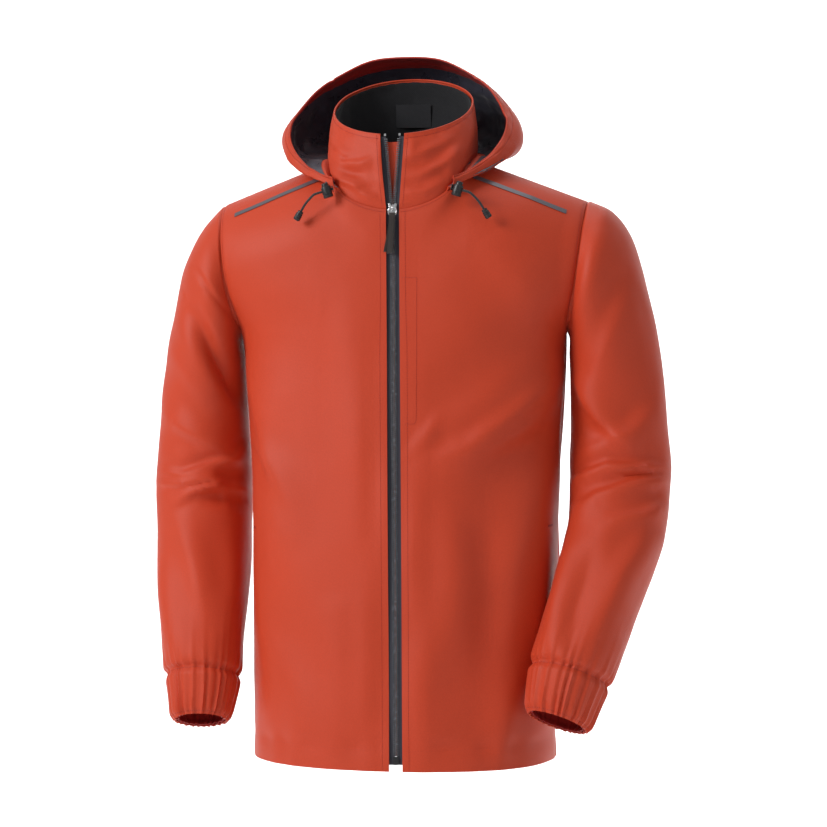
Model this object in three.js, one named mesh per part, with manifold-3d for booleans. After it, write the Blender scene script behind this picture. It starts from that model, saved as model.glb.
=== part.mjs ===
// Hooded foul-weather sailing jacket, worn shape, as its separate sewn and moulded pieces.
// Millimetres. +Z up, front faces -Y, +X is the wearer's left. The origin is the hang loop at the
// back of the neck. Inside this file z = 0 is the back neck seam and y = 0 is the middle of the body.
import * as THREE from 'three';
import { mergeVertices } from 'three/addons/utils/BufferGeometryUtils.js';
import Module from 'manifold-3d';

const { sin, cos, PI, sign, abs, min, max, sqrt } = Math;
const { clamp, lerp } = THREE.MathUtils;

// ---- Body sizes ----
const BODY_LENGTH = 780; // back neck seam to hem
const ARMPIT_DROP = 240; // back neck seam to armpit
const CHEST_HALF = 206; // half width at the armpit
const WAIST_HALF = 196;
const HEM_HALF = 193;
const FRONT_DEPTH = 112; // body middle to front at the neck
const FRONT_LEAN = 0.068; // how fast the front hangs forward, mm per mm of drop
const BACK_DEPTH = 126; // body middle to shoulder blades
const HEM_BACK_DEPTH = 112;
const SECTION_POWER = 2.3; // roundness of the body's section
const NECK_HALF = 90;
const NECK_SIDE_DROP = 20;
const FRONT_NECK_DROP = 93;
const SHOULDER_TIP_HALF = 234;
const SHOULDER_TIP_DROP = 75;
const NAPE_RISE = 35; // the roll of the shoulder climbs this much more towards the nape
const RIDGE_Y = 5; // the shoulder seam lies this far behind the body's middle
const ARMHOLE_BULGE = 60; // the body section is this much wider than the armhole line
const FRONT_ROLL = 108; // radius of the front shoulder's roll
const BACK_ROLL = 54;
const BACK_ROLL_SPREAD = 46; // added to the back roll out at the shoulder
const COLLAR_TOP_HALF = 89;
const COLLAR_HEIGHT = 93; // at the front and at the back
const COLLAR_LEAN = 13; // the collar's back leans in by this much
const HOOD_SHIFT = -10; // the open hood hangs a little towards the wearer's right

// ---- Cloth and clearances ----
const SHELL = 1.3; // shell cloth with its seam allowances
const LINING = 0.7;
const SEAM_GAP = 0.5; // between two pieces sewn edge to edge
const LAYER_GAP = 1; // between two layers of cloth
const COLLAR_LIFT = 2.5; // collar base above the body's neck edge
const SLEEVE_STEP = 2; // sleeve head outside the armhole
const HEM_FACING_HEIGHT = 45;
const ELASTIC = 1.6;
const HEM_ELASTIC_FROM = 6; // above the hem
const HEM_ELASTIC_TO = 30;
const COLLAR_BOW = 3; // how far the collar bellies out at half height
const STRIP_HEIGHT = 5; // reflective strip
const STRIP_DROP = 25; // its top edge below the shoulder line
const STRIP_FROM_NECK = 6;
const STRIP_THICK = 0.5;

// ---- Main zip ----
const ZIP_VISIBLE = 16.5; // between the two front edges
const CHAIN_HALF = 2.6; // one row of teeth, across
const CHAIN_THICK = 2.4;
const CHAIN_GAP = 1.6; // kept between the rows for the slider's post
const TAPE_TUCK = 3; // tape hidden under each front edge
const COLLAR_TAPE_TRIM = 3.5; // less of it at the collar's top, where the front curves away
const TAPE_THICK = 0.5;
const TOP_STOP_HEIGHT = 3;
const ZIP_SINK = 3.2; // teeth's middle below the cloth's face
const ZIP_SWAY = 0.016; // the front edge drifts to the wearer's left, mm per mm of drop
const ZIP_OPEN_BELOW_NECK = -4; // negative: the slider's post is above the front neck seam
const ZIP_V_HALF = 7; // how far each row stands off the middle at the collar's top
const ZIP_END_ABOVE_HEM = 8;
const RETAINER = { width: 7, height: 10, thick: 3.6 };
const RETAINER_FLOOR = 2;
const PIN_THICK = 1.8;
const PIN_CLEAR = 0.3;
const FLAP = { half: 17, behind: 6, bottom: 10, top: 6 };
const SLIDER_CLEAR = 0.35; // round the teeth, on each side
const POST_CLEAR = 0.3;
const SLIDER = { length: 12, topWidth: 10.5, bottomWidth: 8.2, plate: 0.9,
  gap: CHAIN_THICK + 2 * SLIDER_CLEAR, post: CHAIN_GAP - 2 * POST_CLEAR };
const SLIDER_ABOVE_POST = 3.5;
const BAIL = { radius: 2.2, hole: 1.3, off: 0.5, width: 2.4 };
const HINGE_UP = -3; // puller's hinge line from the slider's post
const PULLER_LINK = { width: 12.4, height: 9, wire: 1.5 };
const PULLER = { width: 8.6, thick: 2.4, length: 44, eyeClear: 0.4, fold: 0.9 };

// ---- Neck fittings and pockets ----
const HANG_LOOP = { width: 44, height: 12, thick: 4, tape: 1.2, clear: 7 };
const LABEL = { width: 46, height: 30, thick: 0.5, above: 45, clear: 11 };
const POCKET_GAP = 4;
const POCKET_BAG = 1.4;
const HAND_POCKET = { from: 40, to: 138, top: 487, height: 220 };
const INNER_POCKET = { zipX0: 27, zipWidth: 14, top: 175, zip: 185, bagWidth: 100 };
const INNER_SLIDER = { width: 6, length: 9, thick: 3 };

// ---- Sleeves: sections from the shoulder to the cuff ----
// outer and inner are [out from the side of the chest, up from the armpit]; depth is half the
// front-to-back size, y is how far the middle lies behind the body's, tilt drops the front.
const SLEEVE_RIGHT = [
  { outer: [56, 135], inner: [5, -10], depth: 82, y: 2, tilt: 0 },
  { outer: [80, 90], inner: [5, -30], depth: 80, y: 5, tilt: 0 },
  { outer: [94, 40], inner: [5, -57], depth: 76, y: 9, tilt: 0 },
  { outer: [107, -15], inner: [4, -90], depth: 72, y: 14, tilt: 0 },
  { outer: [116, -72], inner: [2, -126], depth: 70, y: 20, tilt: 0 },
  { outer: [121, -130], inner: [0, -165], depth: 68, y: 26, tilt: 0 },
  { outer: [126, -197], inner: [0, -207], depth: 67, y: 29, tilt: 0 },
  { outer: [123, -266], inner: [1, -266], depth: 63, y: 20, tilt: 0.15 },
  { outer: [114, -353], inner: [1, -348], depth: 58, y: -6, tilt: 0.3 },
  { outer: [103, -420], inner: [3, -415], depth: 53, y: -28, tilt: 0.34 },
  { outer: [93, -458], inner: [7, -455], depth: 47, y: -40, tilt: 0.36 },
  { outer: [85, -498], inner: [15, -494], depth: 38, y: -54, tilt: 0.36 },
];
const SLEEVE_LEFT = [
  { outer: [58, 150], inner: [5, -10], depth: 82, y: 2, tilt: 0 },
  { outer: [82, 120], inner: [5, -30], depth: 80, y: 4, tilt: 0 },
  { outer: [96, 80], inner: [5, -55], depth: 76, y: 6, tilt: 0 },
  { outer: [108, 30], inner: [5, -85], depth: 72, y: 8, tilt: 0 },
  { outer: [119, -32], inner: [5, -120], depth: 70, y: 8, tilt: 0 },
  { outer: [127, -101], inner: [4, -158], depth: 68, y: 4, tilt: 0 },
  { outer: [133, -184], inner: [5, -196], depth: 67, y: -8, tilt: 0.05 },
  { outer: [124, -260], inner: [3, -248], depth: 63, y: -34, tilt: 0.2 },
  { outer: [94, -350], inner: [-14, -326], depth: 57, y: -72, tilt: 0.33 },
  { outer: [69, -415], inner: [-30, -390], depth: 51, y: -100, tilt: 0.36 },
  { outer: [52, -454], inner: [-36, -429], depth: 45, y: -113, tilt: 0.38 },
  { outer: [36, -492], inner: [-39, -470], depth: 37, y: -125, tilt: 0.38 },
];
const CUFF_START = 0.88; // share of the sleeve's sections where the cuff seam runs
const CUFF_GAP = 0.003;
const CUFF_MIDDLE = 0.94; // the elastic ends here

// ---- Cord locks on the hood's drawcord ----
const HOOD_CORNER_TURN = PI * 0.25; // where the hood's front corners meet the neck seam
const HOOD_OFF_COLLAR = 3.5;
const HOOD_SEAM_RISE = 3;
const HOOD_CROWN_SHARE = 0.3;
const HOOD_SEAM_SHARE = 0.002; // open on each side of a seam between the crown and a side
const HOOD_END = 0.79; // the side panels stop just short of the corners, where the drawcord leaves
const HOOD_FOLD = 0.7;
const HOOD_FOLD_GAP = 0.09; // open share between the moving hood and its neck band
const HOOD_FACING = 0.14;
const HOOD_FACING_GAP = 0.01;
const CORD_DIAMETER = 3;
const CORD_START = { out: 10, up: 5 };
const CORD_DROOP = [[7, 1, -6], [13, 2, -13], [18, 3, -21]];
const EYELET = { radius: 4, thick: 1, from: 0.6 };
const SPRING = { radius: 2.8, wire: 0.3, turns: 2, height: 1 };
const CORD_CLEAR = 0.6;
const CORD_BORE = CORD_DIAMETER / 2 + CORD_CLEAR; // radius of the hole that the cord runs through
const LOCK = { radius: 6.2, height: 14, wall: 1.5, floor: 1.6, cord: 9, from: 2.5 };
const BUTTON_CLEAR = 0.4;
const BUTTON = { radius: LOCK.radius - LOCK.wall - BUTTON_CLEAR, rise: 4.5, travel: 2.5, foot: 1.2 };
const CORD_END = { radius: 5.6, length: 13 };

// ---- How finely the cloth is divided ----
const AROUND_SLEEVE = 14;
const ALONG_SLEEVE = 11;
const BODY_ROWS = 12;
const FRONT_SHARES = [0, 0.05, 0.16, 0.28, 0.46, 0.64, 0.82, 1]; // the second is the facing's edge
const BACK_COLUMNS = 12;
const COLLAR_COLUMNS = 20;
const HOOD_SIDE_COLUMNS = 7;
const HOOD_CROWN_COLUMNS = 6;
const HOOD_ROWS = 6;

const wasm = await Module();
wasm.setup();

const jacket = new THREE.Group();
const hood = new THREE.Group();

// ---------- Mesh helpers ----------

function welded(geometry) {
  geometry.deleteAttribute('normal');
  geometry.deleteAttribute('uv');
  return mergeVertices(geometry, 1e-4);
}

function signedVolume(geometry) {
  const p = geometry.attributes.position;
  const at = (i) => new THREE.Vector3().fromBufferAttribute(p, geometry.index.getX(i));
  let volume = 0;
  for (let i = 0; i < geometry.index.count; i += 3) {
    volume += at(i).dot(at(i + 1).cross(at(i + 2))) / 6;
  }
  return volume;
}

// Turns every face over when the shape came out inside out.
function facingOut(geometry) {
  if (signedVolume(geometry) > 0) return geometry;
  const index = geometry.index;
  for (let i = 0; i < index.count; i += 3) {
    const first = index.getX(i);
    index.setX(i, index.getX(i + 1));
    index.setX(i + 1, first);
  }
  return geometry;
}

// Outward side of a surface(u, v) at one point, from its own slopes.
function normalOf(surface, u, v, us, vs) {
  const step = 2e-3;
  const alongU = surface(min(us.at(-1), u + step), v).sub(surface(max(us[0], u - step), v));
  const alongV = surface(u, min(vs.at(-1), v + step)).sub(surface(u, max(vs[0], v - step)));
  return alongU.cross(alongV).normalize();
}

// The two faces of a sheet are cut into triangles along the same diagonals, so that layers stay parallel.
function turnDiagonal(index, quad) {
  const at = quad * 6;
  const [a, b, d, ...rest] = [0, 1, 2, 3, 4, 5].map((k) => index.getX(at + k));
  const c = rest.find((corner) => corner !== b && corner !== d);
  [a, b, c, a, c, d].forEach((corner, k) => index.setX(at + k, corner));
}

// A sheet of cloth: a flat box with many divisions, bent onto surface(u, v) along the lines us and vs.
// outer and inner are how far its two faces lie below the surface; side is +1 where u x v points out
// of the jacket and -1 where it points in.
function clothSheet(surface, { us, vs, outer, inner, side }) {
  const nu = us.length - 1;
  const nv = vs.length - 1;
  const box = welded(new THREE.BoxGeometry(1, 1, 1, nu, nv, 1));
  const quads = box.index.count / 6;
  for (let quad = quads - nu * nv; quad < quads; quad++) turnDiagonal(box.index, quad);
  const p = box.attributes.position;
  for (let i = 0; i < p.count; i++) {
    const u = us[Math.round((p.getX(i) + 0.5) * nu)];
    const v = vs[Math.round((p.getY(i) + 0.5) * nv)];
    const sunk = p.getZ(i) > 0 ? outer : inner;
    const point = surface(u, v);
    point.addScaledVector(normalOf(surface, u, v, us, vs), -sunk * side);
    p.setXYZ(i, point.x, point.y, point.z);
  }
  return facingOut(box);
}

// A tube of cloth: a lathed ring with a thin wall, bent onto surface(u, v), which closes in u.
function clothTube(surface, { nu, vs, outer, inner, side }) {
  const OUT = 2;
  const IN = 1;
  const nv = vs.length - 1;
  const profile = vs.map((v, j) => new THREE.Vector2(OUT, j));
  profile.push(...vs.map((v, j) => new THREE.Vector2(IN, nv - j)), new THREE.Vector2(OUT, 0));
  const ring = welded(new THREE.LatheGeometry(profile, nu));
  const perTurn = profile.length - 1;
  for (let i = 0; i < nu; i++) {
    for (let j = nv + 1; j < perTurn - 1; j++) turnDiagonal(ring.index, i * perTurn + j);
  }
  const p = ring.attributes.position;
  for (let i = 0; i < p.count; i++) {
    const x = p.getX(i);
    const z = p.getZ(i);
    const u = (Math.atan2(x, z) / (2 * PI) + 1) % 1;
    const v = vs[Math.round(p.getY(i))];
    const sunk = Math.hypot(x, z) > (OUT + IN) / 2 ? outer : inner;
    const point = surface(u, v);
    point.addScaledVector(normalOf(surface, u, v, [-1, 2], vs), -sunk * side);
    p.setXYZ(i, point.x, point.y, point.z);
  }
  return facingOut(ring);
}

// count + 1 even steps from one value to another
const steps = (from, to, count) => Array.from({ length: count + 1 }, (_, i) => lerp(from, to, i / count));

function toSolid(geometry) {
  const g = geometry.index && !geometry.attributes.normal ? geometry : welded(geometry);
  return new wasm.Manifold(new wasm.Mesh({
    numProp: 3,
    vertProperties: new Float32Array(g.attributes.position.array),
    triVerts: new Uint32Array(g.index.array),
  }));
}

function fromSolid(solid) {
  const mesh = solid.getMesh();
  const g = new THREE.BufferGeometry();
  g.setAttribute('position', new THREE.BufferAttribute(new Float32Array(mesh.vertProperties), 3));
  g.setIndex(new THREE.BufferAttribute(new Uint32Array(mesh.triVerts), 1));
  return g;
}

function material(color, roughness, metalness = 0) {
  return new THREE.MeshStandardMaterial({ color, roughness, metalness });
}

const shellCloth = () => material('#c64834', 0.62);
const insideShellCloth = () => material('#8a1a1e', 0.6);
const liningCloth = () => material('#242428', 0.5);
const blackPlastic = () => material('#161616', 0.45);
const tapeCloth = () => material('#34343e', 0.8);
const toothPlastic = () => material('#8c8f96', 0.3, 0.6);
const silverMetal = () => material('#c8c8cd', 0.25, 1);

function add(name, geometry, look, parent = jacket) {
  geometry.computeVertexNormals();
  const mesh = new THREE.Mesh(geometry, look);
  mesh.name = name;
  parent.add(mesh);
  return mesh;
}

// ---------- Body surface ----------

const FRONT = -1;
const BACK = 1;

const SHOULDER_SLOPE = (SHOULDER_TIP_DROP - NECK_SIDE_DROP) / (SHOULDER_TIP_HALF - NECK_HALF);

function curveThrough(stations, z) {
  if (z <= stations[0][0]) return stations[0][1];
  for (let i = 1; i < stations.length; i++) {
    const [z0, value0] = stations[i - 1];
    const [z1, value1] = stations[i];
    if (z <= z1) return lerp(value0, value1, THREE.MathUtils.smoothstep(z, z0, z1));
  }
  return stations.at(-1)[1];
}

// 0 at the armpit, 1 at the shoulder tip
const armholeShare = (z) => clamp((z + ARMPIT_DROP) / (ARMPIT_DROP - SHOULDER_TIP_DROP), 0, 1);

function armholeX(z) {
  return CHEST_HALF + (SHOULDER_TIP_HALF - CHEST_HALF) * armholeShare(z) ** 0.6;
}

function halfWidth(z) {
  if (z > -ARMPIT_DROP) {
    return armholeX(z) + ARMHOLE_BULGE * sin(armholeShare(z) * PI / 2) ** 0.85;
  }
  const waist = -(ARMPIT_DROP + BODY_LENGTH) / 2;
  return curveThrough([[-BODY_LENGTH, HEM_HALF], [waist, WAIST_HALF], [-ARMPIT_DROP, CHEST_HALF]], z);
}

const frontDepth = (z) => FRONT_DEPTH + FRONT_LEAN * (-FRONT_NECK_DROP - z);

function backDepth(z) {
  const waist = -(ARMPIT_DROP + BODY_LENGTH) / 2;
  return curveThrough([[-BODY_LENGTH, HEM_BACK_DEPTH], [waist, HEM_BACK_DEPTH - 2],
    [-ARMPIT_DROP * 0.6, BACK_DEPTH]], z);
}

// Height of the shoulder line; inside the neck it climbs towards the nape.
function shoulderZ(x) {
  const off = abs(x);
  if (off < NECK_HALF) return -NECK_SIDE_DROP + NAPE_RISE * sqrt(1 - (off / NECK_HALF) ** 2);
  return -NECK_SIDE_DROP - (off - NECK_HALF) * SHOULDER_SLOPE;
}

// The body rolls over to the shoulder line: 0 on the line, 1 where the roll ends.
function rollOver(drop, radius) {
  return sqrt(max(0, 1 - (1 - clamp(drop / radius, 0, 1)) ** 2));
}

// front is -1 for the front half and +1 for the back half
function bodyY(x, z, front) {
  const share = min(1, abs(x) / halfWidth(z));
  const full = (front < 0 ? -frontDepth(z) : backDepth(z))
    * (1 - share ** SECTION_POWER) ** (1 / SECTION_POWER);
  const radius = front < 0 ? FRONT_ROLL
    : BACK_ROLL + BACK_ROLL_SPREAD * clamp(abs(x) / NECK_HALF, 0, 1);
  const drop = shoulderZ(x) - z;
  return front * SEAM_GAP / 2 + RIDGE_Y + (full - RIDGE_Y) * rollOver(drop, radius);
}

const zipX = (z) => -ZIP_SWAY * (z + FRONT_NECK_DROP);

// Point of the body: u is 0 at the edge nearest the middle and 1 at the side seam or armhole
function bodyPoint(u, z, left, front, edge = 0) {
  const onSection = (x) => Math.asin(min(1, x / halfWidth(z)) ** (SECTION_POWER / 2));
  const widest = z > -ARMPIT_DROP ? onSection(armholeX(z)) : PI / 2;
  const angle = lerp(onSection(edge), widest, u);
  const x = halfWidth(z) * sin(angle) ** (2 / SECTION_POWER);
  const sway = front < 0 ? zipX(z) * cos(angle) ** 2 : 0;
  return new THREE.Vector3(x * left + sway, bodyY(x, z, front), z);
}

function neckZ(x, front) {
  const share = sqrt(max(0, 1 - (x / NECK_HALF) ** 2));
  return front < 0 ? -NECK_SIDE_DROP - (FRONT_NECK_DROP - NECK_SIDE_DROP) * share
    : -NECK_SIDE_DROP * (1 - share);
}

// Top edge of a panel at u: the neck curve or the shoulder line, or a line below both
function topZ(u, front, edge, below = 0) {
  let z = -SHOULDER_TIP_DROP;
  for (let i = 0; i < 30; i++) {
    const x = abs(bodyPoint(u, z, 1, front, edge).x - (front < 0 ? zipX(z) : 0));
    const line = shoulderZ(x) - below;
    z = lerp(z, x < NECK_HALF ? min(neckZ(x, front), line) : line, 0.6);
  }
  return z;
}

const FRONT_EDGE = ZIP_VISIBLE / 2;
const frontTop = (u) => topZ(u, FRONT, FRONT_EDGE);
const backTop = (u) => topZ(u, BACK, 0);

// A front from hem (v = 0) to neck and shoulder (v = 1)
function frontSurface(left) {
  return (u, v) => bodyPoint(u, lerp(-BODY_LENGTH, frontTop(u), v), left, FRONT, FRONT_EDGE);
}

// The back, from one side seam (u = -1) to the other (u = 1)
function backSurface(u, v) {
  const share = abs(u);
  return bodyPoint(share, lerp(-BODY_LENGTH, backTop(share), v), u < 0 ? -1 : 1, BACK);
}

// Rows of the body: hem, top of the hem facing, then closer together towards the rolled shoulder
const facingShare = HEM_FACING_HEIGHT / (BODY_LENGTH - SHOULDER_TIP_DROP);
const ROW_CROWDING = 1.7; // 1 would space the rows evenly
const bodyRows = [0, ...steps(0, 1, BODY_ROWS)
  .map((k) => lerp(facingShare, 1, 1 - (1 - k) ** ROW_CROWDING))];

// ---------- Body pieces ----------

const SHELL_FACES = { outer: 0, inner: SHELL };
const LINING_FACES = { outer: SHELL + LAYER_GAP, inner: SHELL + LAYER_GAP + LINING };
const ELASTIC_FACES = { outer: SHELL + LAYER_GAP, inner: SHELL + LAYER_GAP + ELASTIC };
const FACING_FACES = {
  outer: ELASTIC_FACES.inner + LAYER_GAP,
  inner: ELASTIC_FACES.inner + LAYER_GAP + LINING,
};

const liningRows = bodyRows.slice(1);
liningRows[0] += SEAM_GAP / BODY_LENGTH;
const liningShares = FRONT_SHARES.slice(1);

function addFront(side, left) {
  const surface = frontSurface(left);
  add(`front_panel_${side}`, clothSheet(surface,
    { us: FRONT_SHARES, vs: bodyRows, ...SHELL_FACES, side: left }), shellCloth());
  add(`lining_front_${side}`, clothSheet(surface,
    { us: liningShares, vs: liningRows, ...LINING_FACES, side: left }), liningCloth());
}

function addBack() {
  const us = steps(-1, 1, BACK_COLUMNS);
  add('back_panel', clothSheet(backSurface, { us, vs: bodyRows, ...SHELL_FACES, side: -1 }),
    shellCloth());
  add('lining_back', clothSheet(backSurface, { us, vs: liningRows, ...LINING_FACES, side: -1 }),
    liningCloth());
}

// Each strip lies on the outside of its front, a little below the shoulder line.
function addReflectiveStrip(side, left) {
  const edge = NECK_HALF + STRIP_FROM_NECK;
  const top = (u) => topZ(u, FRONT, edge, STRIP_DROP);
  const surface = (u, v) => bodyPoint(u, top(u) - STRIP_HEIGHT * (1 - v), left, FRONT, edge);
  add(`reflective_strip_${side}`, clothSheet(surface, { us: steps(0, 1, 6), vs: [0, 1],
    outer: -LAYER_GAP - STRIP_THICK, inner: -LAYER_GAP, side: left }), material('#6a6668', 0.35, 0.3));
}

// A band round the inside of the hem, from one front edge round the back to the other.
// u runs from -2 to 2; its middle half is the back.
function hemBand(low, high, faces) {
  const surface = (u, v) => {
    const left = u < 0 ? -1 : 1;
    const z = lerp(low, high, v);
    if (abs(u) > 1) return bodyPoint(2 - abs(u), z, left, FRONT, FRONT_EDGE);
    return bodyPoint(abs(u), z, left, BACK);
  };
  const front = liningShares.slice(0, -1);
  const us = [...front.map((share) => share - 2), ...steps(-1, 1, BACK_COLUMNS),
    ...front.map((share) => 2 - share).reverse()];
  return clothSheet(surface, { us, vs: [0, 1], ...faces, side: -1 });
}

function addHem() {
  const low = -BODY_LENGTH;
  add('hem_facing', hemBand(low, low + HEM_FACING_HEIGHT, FACING_FACES), insideShellCloth());
  add('hem_elastic', hemBand(low + HEM_ELASTIC_FROM, low + HEM_ELASTIC_TO, ELASTIC_FACES), tapeCloth());
}

// ---------- Collar ----------

// Neck seam: turn runs from the front centre (0) through a side (PI / 2) to the back (PI).
function neckSeam(turn) {
  const front = cos(turn) > 0 ? FRONT : BACK;
  const x = NECK_HALF * abs(sin(turn));
  const z = neckZ(x, front);
  return new THREE.Vector3(x * sign(sin(turn)), bodyY(x, z, front), z);
}

function collarRim(turn) {
  const base = (neckSeam(0).y + neckSeam(PI).y) / 2;
  const middle = base - COLLAR_LEAN / 4;
  const halfDepth = (neckSeam(PI).y - neckSeam(0).y) / 2 - COLLAR_LEAN * 0.75;
  const middleZ = (neckSeam(0).z + neckSeam(PI).z) / 2 + COLLAR_HEIGHT;
  const rise = (neckSeam(PI).z - neckSeam(0).z) / 2;
  return new THREE.Vector3(COLLAR_TOP_HALF * sin(turn), middle - halfDepth * cos(turn),
    middleZ - rise * cos(turn));
}

function collarPoint(u, v) {
  const edge = Math.asin((ZIP_VISIBLE / 2 + ZIP_V_HALF * v) / NECK_HALF);
  const turn = lerp(edge, 2 * PI - edge, u);
  const base = neckSeam(turn);
  base.z += COLLAR_LIFT;
  const point = base.lerp(collarRim(turn), v);
  const bow = COLLAR_BOW * sin(v * PI);
  const sway = zipX(point.z) * max(0, cos(turn)) ** 2;
  return point.add(new THREE.Vector3(bow * sin(turn) + sway, -bow * cos(turn), 0));
}

function addCollar() {
  const inset = 0.03; // the lining stops behind the zip's facing
  const us = [0, ...steps(inset, 1 - inset, COLLAR_COLUMNS), 1];
  const vs = steps(0, 1, 3);
  add('collar_outer', clothSheet(collarPoint, { us, vs, ...SHELL_FACES, side: 1 }), shellCloth());
  add('collar_lining', clothSheet(collarPoint, { us: us.slice(1, -1), vs, ...LINING_FACES, side: 1 }),
    liningCloth());
}

// ---------- Neck fittings ----------

const backNeck = neckSeam(PI);
const insideNeck = new THREE.Vector3(0, backNeck.y - LINING_FACES.inner - LAYER_GAP, backNeck.z);

function addNeckLabel() {
  const label = plate(roundedRectangle(LABEL.width, LABEL.height, 2), LABEL.thick, 0);
  label.rotateX(Math.atan(COLLAR_LEAN / COLLAR_HEIGHT));
  label.translate(0, insideNeck.y - LABEL.clear, insideNeck.z + LABEL.above);
  add('neck_label', label, material('#3a3a40', 0.8));
}

// The loop stands off the lining: a flat tape bent into an arch between two sewn ends.
const loopApex = new THREE.Vector3(0, insideNeck.y - HANG_LOOP.clear - HANG_LOOP.tape / 2,
  insideNeck.z + HANG_LOOP.height - HANG_LOOP.thick);

function addHangLoop() {
  const { width, height, thick, tape } = HANG_LOOP;
  const half = width / 2;
  const arch = new THREE.Shape();
  arch.absellipse(0, 0, half, height, 0, PI, false);
  arch.lineTo(-half + thick, 0);
  arch.absellipse(0, 0, half - thick, height - thick, PI, 0, true);
  const loop = plate(arch, tape, 0);
  loop.translate(0, loopApex.y, insideNeck.z);
  add('hang_loop', facingOut(loop), tapeCloth());
}

// ---------- Hood ----------

const vectors = (points) => points.map(([x, y, z]) => new THREE.Vector3(x, y, z));

// A curve over the back of the neck from one front corner to the other, from its half
function mirroredCurve(half) {
  const points = vectors(half);
  const other = points.slice(1).reverse().map((p) => new THREE.Vector3(-p.x, p.y, p.z));
  return new THREE.CatmullRomCurve3([...other, ...points]);
}

const hoodCorner = neckSeam(HOOD_CORNER_TURN);
const atCorner = (out, up) => [hoodCorner.x + out, hoodCorner.y - out, hoodCorner.z + up];

const brim = mirroredCurve([[0, 72, 123], [45, 70, 119], [82, 60, 101], [112, 42, 78], [133, 15, 45],
  [139, -12, 22], [130, -42, -8], [108, -70, -36], atCorner(8, 18)]);
const upperBulge = mirroredCurve([[0, 176, 128], [98, 150, 100], [161, 40, 36], [152, -40, -18],
  atCorner(8, 8)]);
const lowerBulge = mirroredCurve([[0, 196, -45], [122, 150, -34], [170, 22, -36], [142, -50, -40],
  atCorner(8, 4)]);

// across runs -1 to 1 over the back from corner to corner; down runs 0 at the brim to 1 at the neck
function hoodPoint(across, down) {
  const share = (across + 1) / 2;
  const turn = lerp(PI, HOOD_CORNER_TURN, abs(across));
  const seam = neckSeam(turn);
  seam.add(new THREE.Vector3(sin(turn), -cos(turn), 0).multiplyScalar(HOOD_OFF_COLLAR));
  seam.x *= across < 0 ? -1 : 1;
  seam.z += HOOD_SEAM_RISE;
  const curve = new THREE.CubicBezierCurve3(brim.getPoint(share), upperBulge.getPoint(share),
    lowerBulge.getPoint(share), seam);
  const point = curve.getPoint(down);
  point.x += HOOD_SHIFT * (1 - down) * (1 - across ** 4);
  return point;
}

function addHood() {
  const split = HOOD_CROWN_SHARE;
  const seam = HOOD_SEAM_SHARE;
  const crown = steps(-split + seam, split - seam, HOOD_CROWN_COLUMNS);
  const left = steps(split + seam, HOOD_END, HOOD_SIDE_COLUMNS);
  const right = left.map((u) => -u).reverse();
  const around = [...right, ...crown, ...left];
  const rows = [0, ...steps(HOOD_FACING, HOOD_FOLD, HOOD_ROWS)];
  const sheet = (us, vs, faces) => clothSheet(hoodPoint, { us, vs, ...faces, side: 1 });
  add('hood_crown', sheet(crown, rows, SHELL_FACES), shellCloth(), hood);
  add('hood_side_left', sheet(left, rows, SHELL_FACES), shellCloth(), hood);
  add('hood_side_right', sheet(right, rows, SHELL_FACES), shellCloth(), hood);
  add('hood_brim_facing', sheet(around, [0, HOOD_FACING - HOOD_FACING_GAP], LINING_FACES), insideShellCloth(), hood);
  add('hood_lining', sheet(around, rows.slice(1), LINING_FACES), liningCloth(), hood);
  add('hood_neck_band', sheet(around, steps(HOOD_FOLD + HOOD_FOLD_GAP, 1, 2), SHELL_FACES), shellCloth());
}

// ---------- Sleeves ----------

// Armhole edge: turn 0 is the shoulder tip, PI the armpit, the front where sin(turn) is negative
function armholeEdge(turn) {
  const middle = -(ARMPIT_DROP + SHOULDER_TIP_DROP) / 2;
  const half = (ARMPIT_DROP - SHOULDER_TIP_DROP) / 2;
  const z = middle + half * cos(turn);
  const x = armholeX(z);
  const y = bodyY(x, z, sin(turn) < 0 ? FRONT : BACK);
  return new THREE.Vector3(x + SLEEVE_STEP, y, z);
}

function sectionPoint({ outer, inner, depth, y, tilt }, turn) {
  const wide = cos(turn) / 2;
  const deep = depth * sin(turn);
  const x = CHEST_HALF + (outer[0] + inner[0]) / 2 + (outer[0] - inner[0]) * wide;
  const z = -ARMPIT_DROP + (outer[1] + inner[1]) / 2 + (outer[1] - inner[1]) * wide;
  return new THREE.Vector3(x, y + deep, z - deep * tilt);
}

function sleevePoint(sections, left) {
  return (u, v) => {
    const turn = u * 2 * PI;
    const line = [armholeEdge(turn), ...sections.map((section) => sectionPoint(section, turn))];
    const point = new THREE.CatmullRomCurve3(line).getPoint(v);
    point.x *= left;
    return point;
  };
}

function addSleeve(side, left, sections) {
  const surface = sleevePoint(sections, left);
  const upper = steps(0, CUFF_START, ALONG_SLEEVE);
  const cuff = [CUFF_START + CUFF_GAP, CUFF_MIDDLE, 1];
  const tubeOf = (name, vs, faces, look) => add(`${name}_${side}`,
    clothTube(surface, { nu: AROUND_SLEEVE, vs, ...faces, side: -left }), look);
  tubeOf('sleeve_shell', [...upper, ...cuff.slice(1)], SHELL_FACES, shellCloth());
  tubeOf('sleeve_lining', upper, LINING_FACES, liningCloth());
  tubeOf('cuff_facing', cuff, FACING_FACES, insideShellCloth());
  tubeOf('cuff_elastic', [cuff[0], cuff[1]], ELASTIC_FACES, tapeCloth());
}

// ---------- Flat shapes ----------

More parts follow.
